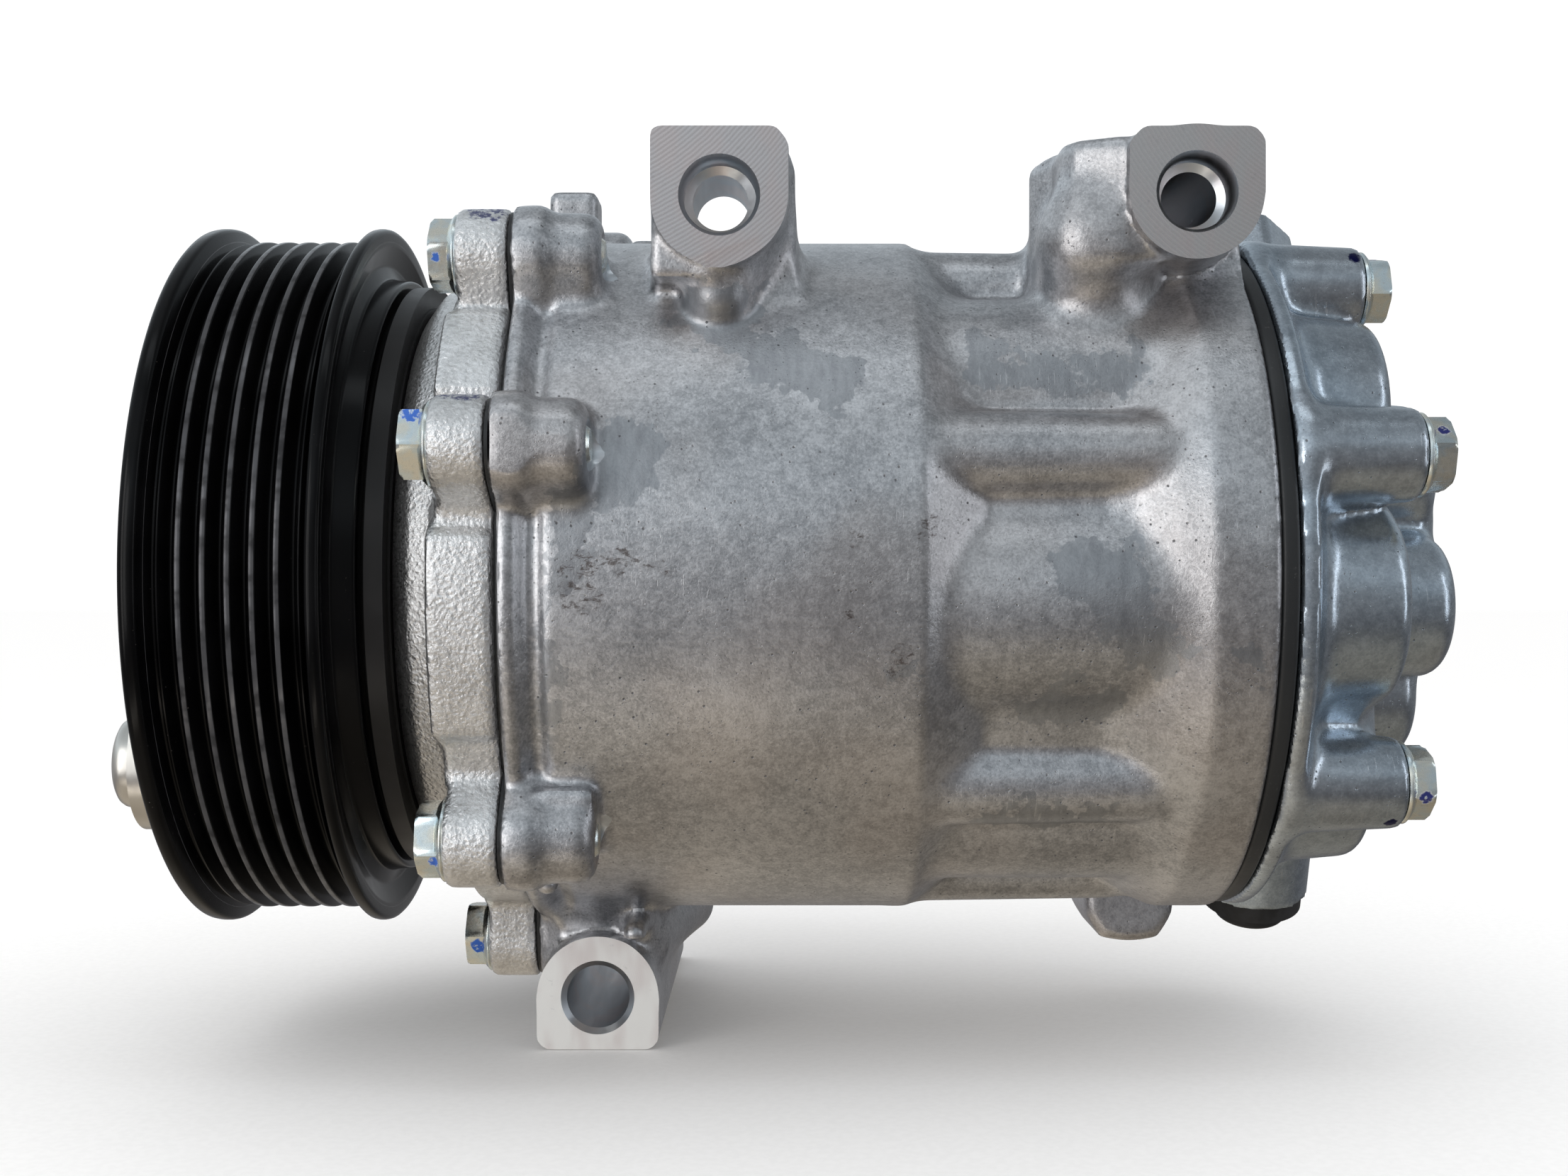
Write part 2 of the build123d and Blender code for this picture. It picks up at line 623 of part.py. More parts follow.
LUG_REAR = 42.0
PIN_X = 57.0
PIN_Z = 27.0
LUG_Y = (8.0, 15.0)
CAM_ANGLE = 22.0
CAM_TRAVEL = 2.4
CAM_SLOT = (PIN_X - CAM_TRAVEL * cos(radians(CAM_ANGLE)), PIN_Z - CAM_TRAVEL * sin(radians(CAM_ANGLE)))
PIN_R = 3.0
with BuildPart() as lug_rotor:
    revolve(
        outline(
            (LUG_FRONT, SHAFT_LUG_R),
            (LUG_FRONT, 25.0),
            (LUG_FRONT + 3.0, 39.0),
            (LUG_REAR, 39.0),
            (LUG_REAR, 17.0),
            (50.0, 17.0),
            (50.0, SHAFT_LUG_R),
        ),
        axis=Axis.X,
    )
    for side in (-1, 1):
        with BuildSketch(Plane.XZ.offset(side * LUG_Y[0])):
            with BuildLine():
                Polyline(
                    (LUG_REAR - 2, 18), (LUG_REAR - 2, 36), (PIN_X, 33),
                    (PIN_X + 5, 29), (PIN_X + 5, 22), (52, 18.5), close=True,
                )
            make_face()
        extrude(amount=side * (LUG_Y[1] - LUG_Y[0]))
    with BuildSketch(Plane.XZ.offset(-LUG_Y[1])):
        with Locations(CAM_SLOT):
            SlotOverall(2 * (CAM_TRAVEL + PIN_R + RUN), 2 * (PIN_R + RUN), rotation=CAM_ANGLE)
    extrude(amount=2 * LUG_Y[1], mode=Mode.SUBTRACT)
lug_rotor.part.label = "lug_rotor"
export_step(lug_rotor.part, "parts/lug_rotor.step")

with BuildPart() as hinge_pin:
    with BuildSketch(Plane.XZ.offset(-(LUG_Y[1] - 0.5))):
        with Locations((PIN_X, PIN_Z)):
            Circle(PIN_R)
    extrude(amount=2 * LUG_Y[1] - 1.0)
hinge_pin.part.label = "hinge_pin"
export_step(hinge_pin.part, "parts/hinge_pin.step")

SLEEVE_R = 13.0
TRUNNION_R = 3.0
with BuildPart() as pivot_sleeve:
    revolve(ring(66.0, 86.0, SHAFT_GUIDE_R + RUN, SLEEVE_R), axis=Axis.X)
    with BuildSketch(Plane.XZ.offset(-17.0)):
        with Locations((WOBBLE_BALL_X, 0)):
            Circle(TRUNNION_R)
    extrude(amount=34.0)
    revolve(ring(66.0, 86.0, 0, SHAFT_GUIDE_R + RUN), axis=Axis.X, mode=Mode.SUBTRACT)
pivot_sleeve.part.label = "pivot_sleeve"
export_step(pivot_sleeve.part, "parts/pivot_sleeve.step")

JOURNAL_HUB_R = 20.0
with BuildPart() as journal:
    revolve(ring(66.0, 70.0, SLEEVE_R + 0.3, 31.0), axis=Axis.X)
    revolve(ring(66.0, 85.5, SLEEVE_R + 0.3, JOURNAL_HUB_R), axis=Axis.X)
    with BuildSketch(Plane.XZ.offset(-(LUG_Y[0] - 0.3))):
        with BuildLine():
            Polyline(
                (66.5, 20), (66.5, 30), (PIN_X + 2, 32),
                (PIN_X - 4, 31), (PIN_X - 4, 23), (PIN_X + 2, 21.5), close=True,
            )
        make_face()
    extrude(amount=2 * (LUG_Y[0] - 0.3))
    with BuildSketch(Plane.XZ.offset(-LUG_Y[0])):
        with Locations((PIN_X, PIN_Z)):
            Circle(PIN_R + 0.01)
    extrude(amount=2 * LUG_Y[0], mode=Mode.SUBTRACT)
    with BuildSketch(Plane.XZ.offset(-JOURNAL_HUB_R)):
        with Locations((WOBBLE_BALL_X, 0)):
            Circle(TRUNNION_R + RUN)
    extrude(amount=2 * JOURNAL_HUB_R, mode=Mode.SUBTRACT)
    revolve(ring(82.4, 83.8, JOURNAL_HUB_R - 1.0, JOURNAL_HUB_R + 1.0), axis=Axis.X, mode=Mode.SUBTRACT)
journal.part.label = "journal"
export_step(journal.part, "parts/journal.step")

WOBBLE_FRONT = 72.0
WOBBLE_REAR = 82.0
with BuildPart() as wobble_thrust_bearing:
    revolve(ring(70.05, 70.6, 21.0, 30.5), axis=Axis.X)
    revolve(ring(71.4, 71.95, 21.0, 30.5), axis=Axis.X)
    with Locations(across(71.0)):
        with PolarLocations(25.8, 26):
            Cylinder(0.36, 7.0, rotation=(0, 90, 0))
wobble_thrust_bearing.part.label = "wobble_thrust_bearing"
export_step(wobble_thrust_bearing.part, "parts/wobble_thrust_bearing.step")

SLIDER_R = 5.5
BORE_AXES = [(0, *at(*spot)) for spot in BORE_SPOTS]


def socket(x, facing, mouth_r):
    """The hollow for a rod's ball at x, on the shaft axis, with its mouth along the facing direction."""
    hollow_r = ROD_BALL_R + SOCKET_GAP
    rim = x + facing * (hollow_r**2 - mouth_r**2) ** 0.5
    with BuildPart() as hollow:
        with BuildSketch(Plane.XZ):
            with BuildLine():
                ThreePointArc((x - facing * hollow_r, 0), (x, hollow_r), (rim, mouth_r))
                mouth = x + facing * SOCKET_MOUTH
                Polyline((rim, mouth_r), (mouth, mouth_r), (mouth, 0), (x - facing * hollow_r, 0))
            make_face()
        revolve(axis=Axis.X)
    return hollow.part


with BuildPart() as wobble_plate:
    revolve(ring(WOBBLE_FRONT, WOBBLE_REAR, JOURNAL_HUB_R + 0.3, 43.8), axis=Axis.X)
    extrude(discs(WOBBLE_FRONT, [GUIDE_SPOT], SLIDER_R + 0.1), amount=10.0, mode=Mode.SUBTRACT)
    extrude(discs(WOBBLE_REAR - 1.0, BORE_SPOTS, 7.0), amount=2.4)
    with Locations(*BORE_AXES):
        add(socket(WOBBLE_BALL_X, 1, ROD_R + 1.0), mode=Mode.SUBTRACT)
wobble_plate.part.label = "wobble_plate"
export_step(wobble_plate.part, "parts/wobble_plate.step")

with BuildPart() as wobble_retaining_ring:
    add(open_ring(82.5, 83.7, JOURNAL_HUB_R - 0.9, JOURNAL_HUB_R + 3.4, 60.0))
wobble_retaining_ring.part.label = "wobble_retaining_ring"
export_step(wobble_retaining_ring.part, "parts/wobble_retaining_ring.step")

GUIDE_REAR = BLOCK_FACE + 5.0
with BuildPart() as guide_rail:
    extrude(discs(FRONT_WALL - 3.0, [GUIDE_SPOT], GUIDE_R - 0.01), amount=GUIDE_REAR - FRONT_WALL + 3.0)
guide_rail.part.label = "guide_rail"
export_step(guide_rail.part, "parts/guide_rail.step")

with BuildPart() as guide_slider:
    extrude(discs(WOBBLE_FRONT + 1.0, [GUIDE_SPOT], SLIDER_R), amount=8.0)
    extrude(discs(WOBBLE_FRONT + 1.0, [GUIDE_SPOT], GUIDE_R + RUN), amount=8.0, mode=Mode.SUBTRACT)
guide_slider.part.label = "guide_slider"
export_step(guide_slider.part, "parts/guide_slider.step")

SPRING_WIRE_R = 0.9
SPRING_R = SHAFT_GUIDE_R + 1.6
with BuildPart() as return_spring:
    with BuildLine():
        spring_line = Helix(pitch=2.6, height=9.1, radius=SPRING_R, center=(87.2, 0, 0), direction=(1, 0, 0))
    with BuildSketch(Plane(origin=spring_line @ 0, z_dir=spring_line % 0)):
        Circle(SPRING_WIRE_R)
    sweep(is_frenet=True)
return_spring.part.label = "return_spring"
export_step(return_spring.part, "parts/return_spring.step")

ROD_NECK = (ROD_BALL_R**2 - ROD_R**2) ** 0.5
with BuildPart() as rod:
    with BuildSketch(Plane.XZ):
        with BuildLine():
            ThreePointArc(
                (WOBBLE_BALL_X - ROD_BALL_R, 0),
                (WOBBLE_BALL_X, ROD_BALL_R),
                (WOBBLE_BALL_X + ROD_NECK, ROD_R),
            )
            Line((WOBBLE_BALL_X + ROD_NECK, ROD_R), (PISTON_BALL_X - ROD_NECK, ROD_R))
            ThreePointArc(
                (PISTON_BALL_X - ROD_NECK, ROD_R),
                (PISTON_BALL_X, ROD_BALL_R),
                (PISTON_BALL_X + ROD_BALL_R, 0),
            )
            Line((PISTON_BALL_X + ROD_BALL_R, 0), (WOBBLE_BALL_X - ROD_BALL_R, 0))
        make_face()
    revolve(axis=Axis.X)

with BuildPart() as connecting_rods:
    with Locations(*BORE_AXES):
        add(rod.part)
connecting_rods.part.label = "connecting_rods"
export_step(connecting_rods.part, "parts/connecting_rods.step")

RING_GROOVES = (PISTON_CROWN - 4.6, PISTON_CROWN - 8.4)
RING_W = 1.8
RING_DEPTH = 1.6
with BuildPart() as pistons:
    extrude(discs(PISTON_SKIRT, BORE_SPOTS, PISTON_R), amount=PISTON_CROWN - PISTON_SKIRT)
    extrude(discs(PISTON_BALL_X, BORE_SPOTS, 9.8), amount=PISTON_SKIRT - PISTON_BALL_X, mode=Mode.SUBTRACT)
    extrude(discs(PISTON_SKIRT, BORE_SPOTS, 12.4), amount=5.0, mode=Mode.SUBTRACT)
    extrude(discs(PISTON_BALL_X - 2.5, BORE_SPOTS, 10.2), amount=6.0)
    with Locations(*BORE_AXES):
        add(socket(PISTON_BALL_X, -1, ROD_R + 1.0), mode=Mode.SUBTRACT)
    for groove in RING_GROOVES:
        with BuildSketch(across(groove)):
            with Locations(*[at(*spot) for spot in BORE_SPOTS]):
                Circle(PISTON_R + 1.0)
                Circle(PISTON_R - RING_DEPTH, mode=Mode.SUBTRACT)
        extrude(amount=RING_W, mode=Mode.SUBTRACT)
pistons.part.label = "pistons"
export_step(pistons.part, "parts/pistons.step")

with BuildPart() as piston_rings:
    for groove in RING_GROOVES:
        with BuildSketch(across(groove + 0.03)):
            with Locations(*[at(*spot) for spot in BORE_SPOTS]):
                Circle(BORE_R - 0.01)
                Circle(PISTON_R - RING_DEPTH + 0.1, mode=Mode.SUBTRACT)
        extrude(amount=RING_W - 0.06)
piston_rings.part.label = "piston_rings"
export_step(piston_rings.part, "parts/piston_rings.step")

REAR_BORE_R = 12.6
REAR_NEEDLES = (115.0, 133.0)
with BuildPart() as rear_needle_bearing:
    add(needle_bearing(*REAR_NEEDLES, SHAFT_REAR_R, REAR_BORE_R, 15))
rear_needle_bearing.part.label = "rear_needle_bearing"
export_step(rear_needle_bearing.part, "parts/rear_needle_bearing.step")

with BuildPart() as rear_thrust_ring:
    revolve(ring(SHAFT_END + 0.05, SHAFT_END + 4.0, 3.0, REAR_BORE_R - 0.01), axis=Axis.X)
rear_thrust_ring.part.label = "rear_thrust_ring"
export_step(rear_thrust_ring.part, "parts/rear_thrust_ring.step")

# ---------------------------------------------------------------- cylinder housing

VALLEY_FRONT = 111.5
VALLEY_REAR = 128.0
RIB_R = 7.0
BULGE_R = 18.5
BEAM_TOP = 66.6
DRILL_DEPTH = 34.0


BODY_FRONT = JOINT + GASKET_T


def eye(y, centre, radius, top, square_above):
    """The face of a mounting eye: round, with square corners above or below its middle."""
    x, z = centre
    corner = max(z, top) if square_above else min(z, top)
    low = min(z, corner)
    with BuildSketch(Plane.XZ.offset(-y)) as face:
        with Locations((x, z)):
            Circle(radius)
        with Locations((x, low + abs(corner - z) / 2)):
            Rectangle(2 * radius, abs(corner - z))
        fillet(face.vertices().group_by(Axis.Z)[-1 if square_above else 0], 1.4)
    return face.sketch


def cross_bore(centre, radius, y, depth):
    """A round hole along Y, drilled from the plane at y away from the near side."""
    with BuildSketch(Plane.XZ.offset(-y)) as face:
        with Locations(centre):
            Circle(radius)
    with BuildPart() as bore:
        extrude(face.sketch, amount=-depth)
    return bore.part


with BuildPart() as cylinder_housing:
    revolve(
        outline(
            (BODY_FRONT, FLANGE_R),
            (BODY_FLANGE_REAR - 0.8, FLANGE_R),
            (BODY_FLANGE_REAR, FLANGE_R - 0.8),
            (BODY_FLANGE_REAR + 1.0, BODY_R),
            (BLOCK_STEP, BODY_R),
            (VALLEY_FRONT, VALLEY_R),
            (VALLEY_REAR, VALLEY_R),
            (RING_FRONT, BODY_R),
            (DECK, BODY_R),
            (DECK, 0),
            (BODY_FRONT, 0),
        ),
        axis=Axis.X,
    )
    extrude(lobes(BODY_FRONT, FRONT_SCREWS, LOBE_R, 9.0, 11.0), amount=BODY_FLANGE_REAR - BODY_FRONT)
    extrude(lobes(BODY_FRONT, FRONT_SCREWS, LOBE_R - 0.6, 7.0, 9.0), amount=BOSS_REAR - BODY_FRONT)
    extrude(discs(BLOCK_STEP - 2.0, BORE_SPOTS, BULGE_R), amount=RING_FRONT - BLOCK_STEP + 2.0)
    extrude(discs(BLOCK_STEP - 2.0, BLOCK_RIBS, RIB_R), amount=RING_FRONT - BLOCK_STEP + 2.0)
    # locating lug on top of the front flange
    with BuildSketch(Plane.XY.offset(50.0)):
        with Locations((BODY_FRONT + 4.5, 5.0)):
            RectangleRounded(9.0, 10.0, 1.5)
    extrude(amount=17.5)
    # front upper eye on its neck and its straight web
    extrude(eye(EAR_FACE_Y, FRONT_EAR, 10.3, EAR_TOP, True), amount=-EAR_T)
    with BuildSketch(Plane.XY.offset(30.0)):
        with BuildLine():
            Polyline((60.3, -42), (63.5, -45), (76, -45), (80, -34), (80, -22), (60.3, -22), close=True)
        make_face()
    extrude(amount=19.5)
    with BuildSketch(Plane.XZ.offset(-EAR_FACE_Y - EAR_T)):
        with BuildLine():
            Polyline((60.3, 40), (60.3, 51.2), (83.2, 51.2), (84, 48), (84, 40), close=True)
        make_face()
    extrude(amount=-12.0, taper=18)
    with BuildSketch(Plane.XZ.offset(-EAR_FACE_Y - 0.6)):
        with Locations((62.3, 45.0)):
            Rectangle(4.0, 26.0)
    extrude(amount=-EAR_T)
    # rear upper eye on the end of its cross beam
    extrude(eye(EAR_FACE_Y, REAR_EAR, 10.1, EAR_TOP, True), amount=-EAR_T)
    with BuildSketch(Plane.XY.offset(40.0)):
        with BuildLine():
            Polyline(
                (DECK - 0.1, -33), (137.0, -33), (133.5, -43), (131.7, -46), (122.5, -40), (122.5, -30),
                (119.5, -27), (123.2, 0), (129.3, 46), (DECK - 0.1, 46), close=True,
            )
        make_face()
    extrude(amount=BEAM_TOP - 40.0)
    # lower eye on its long beam
    extrude(eye(LOW_EAR_Y, LOW_EAR, 10.1, LOW_EAR_FOOT, False), amount=-(LOW_EAR_BACK - LOW_EAR_Y))
    with BuildSketch(Plane.XZ.offset(-LOW_EAR_Y)):
        with Locations((LOW_EAR[0], LOW_EAR_FOOT - 1.5)):
            Rectangle(24.0, 3.0)
    extrude(amount=-(LOW_EAR_BACK - LOW_EAR_Y), mode=Mode.SUBTRACT)
    with BuildSketch(Plane.YZ.offset(42.0)):
        with BuildLine():
            Polyline(
                (-15, -69), (-13.5, -60), (-19, -50), (30, -42),
                (50, -22), (59, -64), (59, -70), close=True,
            )
        make_face()
    extrude(amount=14.8)
    # small lower eye at the rear
    extrude(eye(LUG_EAR_Y[0], LUG_EAR, 7.6, -50.0, True), amount=-(LUG_EAR_Y[1] - LUG_EAR_Y[0]))
    # the inside: crankcase, cylinders, shaft bore
    revolve(ring(JOINT, BLOCK_FACE, 0, CAVITY_R), axis=Axis.X, mode=Mode.SUBTRACT)
    extrude(discs(BLOCK_FACE, BORE_SPOTS, BORE_R), amount=DECK - BLOCK_FACE, mode=Mode.SUBTRACT)
    revolve(ring(BLOCK_FACE, DECK, 0, REAR_BORE_R), axis=Axis.X, mode=Mode.SUBTRACT)
    extrude(discs(BLOCK_FACE, [GUIDE_SPOT], GUIDE_R), amount=GUIDE_REAR - BLOCK_FACE, mode=Mode.SUBTRACT)
    # screw holes
    extrude(discs(JOINT, LONG_SCREWS, SCREW_HOLE_R), amount=BOSS_REAR + 1.0 - JOINT, mode=Mode.SUBTRACT)
    extrude(discs(JOINT, [LOW_SCREW], SCREW_HOLE_R), amount=BODY_FLANGE_REAR - JOINT, mode=Mode.SUBTRACT)
    extrude(discs(DECK, REAR_SCREWS, SCREW_HOLE_R), amount=-DRILL_DEPTH, mode=Mode.SUBTRACT)
    # eye holes
    add(cross_bore(FRONT_EAR, EAR_HOLE_R, EAR_FACE_Y, EAR_T + 5.0), mode=Mode.SUBTRACT)
    add(cross_bore(FRONT_EAR, EAR_MOUTH_R, EAR_FACE_Y, 5.0), mode=Mode.SUBTRACT)
    add(cross_bore(REAR_EAR, EAR_HOLE_R, EAR_FACE_Y, 40.0), mode=Mode.SUBTRACT)
    add(cross_bore(REAR_EAR, EAR_MOUTH_R, EAR_FACE_Y, 6.0), mode=Mode.SUBTRACT)
    add(cross_bore(LOW_EAR, LOW_EAR_HOLE_R, LOW_EAR_Y, LOW_EAR_BACK - LOW_EAR_Y), mode=Mode.SUBTRACT)
    add(cross_bore(LUG_EAR, EAR_HOLE_R, LUG_EAR_Y[0] + LUG_EAR_WALL, LUG_DEPTH), mode=Mode.SUBTRACT)
cylinder_housing.part.label = "cylinder_housing"
export_step(cylinder_housing.part, "parts/cylinder_housing.step")

# ---------------------------------------------------------------- valve plates and seals

PLATE_R = 53.2
GASKET_REAR = DECK + 0.3
REED_REAR = GASKET_REAR + 0.3
VALVE_REAR = REED_REAR + 3.4
DISCHARGE_REED_REAR = VALVE_REAR + 0.3
RETAINER_REAR = DISCHARGE_REED_REAR + 1.0
SUCTION_PORT_R = 4.2
DISCHARGE_PORT_R = 2.6
DISCHARGE_PITCH_R = 27.5
SUCTION_PITCH_R = 43.5
DISCHARGE_SPOTS = [(DISCHARGE_PITCH_R, angle) for radius, angle in BORE_SPOTS]
SUCTION_SPOTS = [(SUCTION_PITCH_R, angle) for radius, angle in BORE_SPOTS]


def petals(x, hub_r, length, width):
    """A reed disc's seven tongues, one over each cylinder."""
    with BuildSketch(across(x)) as face:
        Circle(hub_r)
        for radius, angle in BORE_SPOTS:
            with Locations(at(length / 2, angle)):
                SlotOverall(length, width, rotation=180.0 - angle)
    return face.sketch


with BuildPart() as cylinder_gasket:
    revolve(ring(DECK, GASKET_REAR, 0, PLATE_R), axis=Axis.X)
    extrude(discs(DECK, BORE_SPOTS, BORE_R), amount=0.3, mode=Mode.SUBTRACT)
    extrude(discs(DECK, REAR_SCREWS, SCREW_HOLE_R + 0.2), amount=0.3, mode=Mode.SUBTRACT)
    revolve(ring(DECK, GASKET_REAR, 0, REAR_BORE_R), axis=Axis.X, mode=Mode.SUBTRACT)
cylinder_gasket.part.label = "cylinder_gasket"
export_step(cylinder_gasket.part, "parts/cylinder_gasket.step")

with BuildPart() as suction_reeds:
    revolve(ring(GASKET_REAR, REED_REAR, 0, PLATE_R), axis=Axis.X)
    with BuildSketch(across(GASKET_REAR)):
        for radius, angle in BORE_SPOTS:
            with Locations(at(radius + 1.0, angle)):
                SlotOverall(25.0, 17.0, rotation=180.0 - angle)
            with Locations(at(radius + 1.0, angle)):
                SlotOverall(23.0, 10.0, rotation=180.0 - angle, mode=Mode.SUBTRACT)
    extrude(amount=REED_REAR - GASKET_REAR, mode=Mode.SUBTRACT)
    with BuildSketch(across(GASKET_REAR)):
        for radius, angle in BORE_SPOTS:
            with Locations(at(radius - 9.0, angle)):
                Rectangle(6.0, 8.0, rotation=180.0 - angle)
    extrude(amount=REED_REAR - GASKET_REAR)
    extrude(discs(GASKET_REAR, DISCHARGE_SPOTS, DISCHARGE_PORT_R + 0.6), amount=0.3, mode=Mode.SUBTRACT)
    extrude(discs(GASKET_REAR, REAR_SCREWS, SCREW_HOLE_R + 0.2), amount=0.3, mode=Mode.SUBTRACT)
suction_reeds.part.label = "suction_reeds"
export_step(suction_reeds.part, "parts/suction_reeds.step")

STUD_R = 3.0
with BuildPart() as valve_plate:
    revolve(ring(REED_REAR, VALVE_REAR, STUD_R, PLATE_R), axis=Axis.X)
    extrude(discs(REED_REAR, DISCHARGE_SPOTS, DISCHARGE_PORT_R), amount=3.4, mode=Mode.SUBTRACT)
    extrude(discs(REED_REAR, SUCTION_SPOTS, SUCTION_PORT_R), amount=3.4, mode=Mode.SUBTRACT)
    extrude(discs(REED_REAR, REAR_SCREWS, SCREW_HOLE_R + 0.2), amount=3.4, mode=Mode.SUBTRACT)
valve_plate.part.label = "valve_plate"
export_step(valve_plate.part, "parts/valve_plate.step")

with BuildPart() as discharge_reeds:
    extrude(petals(VALVE_REAR, 14.0, 31.5, 7.6), amount=0.3)
    revolve(ring(VALVE_REAR, DISCHARGE_REED_REAR, 0, STUD_R), axis=Axis.X, mode=Mode.SUBTRACT)
discharge_reeds.part.label = "discharge_reeds"
export_step(discharge_reeds.part, "parts/discharge_reeds.step")

with BuildPart() as reed_retainer:
    extrude(petals(DISCHARGE_REED_REAR, 15.0, 32.0, 8.2), amount=1.0)
    revolve(ring(DISCHARGE_REED_REAR, RETAINER_REAR, 0, STUD_R), axis=Axis.X, mode=Mode.SUBTRACT)
reed_retainer.part.label = "reed_retainer"
export_step(reed_retainer.part, "parts/reed_retainer.step")

with BuildPart() as reed_bolt:
    revolve(ring(REED_REAR + 0.1, RETAINER_REAR, 0, STUD_R - 0.01), axis=Axis.X)
    with BuildSketch(across(RETAINER_REAR)):
        RegularPolygon(5.0, 6, major_radius=False)
    extrude(amount=4.0)
reed_bolt.part.label = "reed_bolt"
export_step(reed_bolt.part, "parts/reed_bolt.step")

SEAL_OUTER_R = BODY_R - 0.5
SEAL_INNER_R = PLATE_R + 0.4
with BuildPart() as rear_seal_ring:
    revolve(ring(DECK, HEAD_FRONT, SEAL_INNER_R, SEAL_OUTER_R), axis=Axis.X)
    fillet(rear_seal_ring.edges().filter_by(GeomType.CIRCLE).group_by(SortBy.LENGTH)[-1], 0.9)
rear_seal_ring.part.label = "rear_seal_ring"
export_step(rear_seal_ring.part, "parts/rear_seal_ring.step")

# ---------------------------------------------------------------- rear head

HEAD_BODY_R = 44.5
HEAD_PADS = [(35.2, BORE_ANGLE + STEP_ANGLE * i) for i in range(CYLINDERS)]
PAD_LOBE_R = 16.2
LOBE_BASE = HEAD_FLANGE_REAR - 1.0
PETALS = 5
PETAL_SPOTS = [(20.0, 72.0 * i - 15.0) for i in range(PETALS)]
PETAL_R = 12.0
WALL = 4.0
VALVE_ANGLE = 249.6
VALVE_X = 167.6
VALVE_R = 7.5
VALVE_TIP_R = 67.5
RELIEF_Z = -14.0
RELIEF_X = 166.5
RELIEF_Y = 41.0

port_plane = Plane(
    origin=(PORT_X, *at(PORT_FACE_R, PORT_ANGLE)),
    x_dir=(1, 0, 0),
    z_dir=(0, *at(1.0, PORT_ANGLE)),
)
valve_plane = Plane(
    origin=(VALVE_X, *at(VALVE_TIP_R, VALVE_ANGLE)),
    x_dir=(1, 0, 0),
    z_dir=(0, *at(1.0, VALVE_ANGLE)),
)

with BuildPart() as rear_head:
    revolve(
        outline(
            (HEAD_FRONT, 0),
            (HEAD_FRONT, BODY_R - 0.4),
            (HEAD_FLANGE_REAR, BODY_R - 0.4),
            (HEAD_FLANGE_REAR + 0.8, BODY_R - 3.0),
            (HEAD_FLANGE_REAR + 3.0, HEAD_BODY_R + 2.5),
            (HEAD_FLANGE_REAR + 5.0, HEAD_BODY_R),
            (HEAD_LOBE_REAR - 4.0, HEAD_BODY_R - 2.0),
            (HEAD_LOBE_REAR - 0.6, HEAD_BODY_R - 7.0),
            (HEAD_LOBE_REAR, 30.0),
            (HEAD_LOBE_REAR, 0),
        ),
        axis=Axis.X,
    )
    extrude(discs(LOBE_BASE, HEAD_PADS, PAD_LOBE_R), amount=HEAD_LOBE_REAR - LOBE_BASE)
    extrude(discs(LOBE_BASE, REAR_SCREWS, LOBE_R), amount=HEAD_BOSS_REAR - LOBE_BASE)
    extrude(discs(HEAD_LOBE_REAR - 5.0, PETAL_SPOTS, PETAL_R), amount=HEAD_TOP - HEAD_LOBE_REAR + 5.0)
    revolve(ring(HEAD_LOBE_REAR - 1.0, HEAD_TOP, 0, 20.0), axis=Axis.X)
    # port block, control valve barrel and relief valve boss
    with BuildSketch(port_plane) as port_block:
        Polygon(*PORT_BLOCK, align=None)
        fillet(port_block.vertices(), 2.0)
    extrude(amount=-26.0)
    with BuildSketch(valve_plane.offset(-6.0)):
        Circle(VALVE_R + 2.4)
    extrude(amount=-28.0)
    with BuildSketch(Plane.XZ.offset(-RELIEF_Y)):
        with Locations((RELIEF_X, RELIEF_Z)):
            Circle(9.0)
    extrude(amount=-11.0)
    # recess for the valve plate, gas chambers
    revolve(ring(HEAD_FRONT, HEAD_FLANGE_REAR, 0, PLATE_R + 0.2), axis=Axis.X, mode=Mode.SUBTRACT)
    revolve(ring(HEAD_FLANGE_REAR, HEAD_TOP - WALL, 0, 18.0), axis=Axis.X, mode=Mode.SUBTRACT)
    revolve(ring(HEAD_FLANGE_REAR, HEAD_FLANGE_REAR + 2.2, 0, 33.0), axis=Axis.X, mode=Mode.SUBTRACT)
    revolve(ring(HEAD_FLANGE_REAR, HEAD_LOBE_REAR - WALL, 36.5, 41.0), axis=Axis.X, mode=Mode.SUBTRACT)
    with BuildSketch(port_plane):
        with Locations((0, PORT_OFFSET)):
            Circle(SUCTION_R)
        with Locations((0, -PORT_OFFSET)):
            Circle(DISCHARGE_R)
    extrude(amount=-PORT_DEPTH, mode=Mode.SUBTRACT)
    with BuildSketch(port_plane):
        Circle(PORT_STUD_R)
    extrude(amount=-PORT_STUD_DEPTH, mode=Mode.SUBTRACT)
    with BuildSketch(valve_plane.offset(-6.0)):
        Circle(VALVE_R)
    extrude(amount=-26.0, mode=Mode.SUBTRACT)
    with BuildSketch(Plane.XZ.offset(-RELIEF_Y - 11.0)):
        with Locations((RELIEF_X, RELIEF_Z)):
            Circle(5.0)
    extrude(amount=12.0, mode=Mode.SUBTRACT)
    extrude(discs(HEAD_FRONT, REAR_SCREWS, SCREW_HOLE_R), amount=HEAD_TOP - HEAD_FRONT, mode=Mode.SUBTRACT)
rear_head.part.label = "rear_head"
export_step(rear_head.part, "parts/rear_head.step")

with BuildPart() as rear_screws:
    for spot in REAR_SCREWS:
        add(screw(HEAD_BOSS_REAR, spot, HEAD_BOSS_REAR - DECK + DRILL_DEPTH - 3.0, -1))
rear_screws.part.label = "rear_screws"
export_step(rear_screws.part, "parts/rear_screws.step")

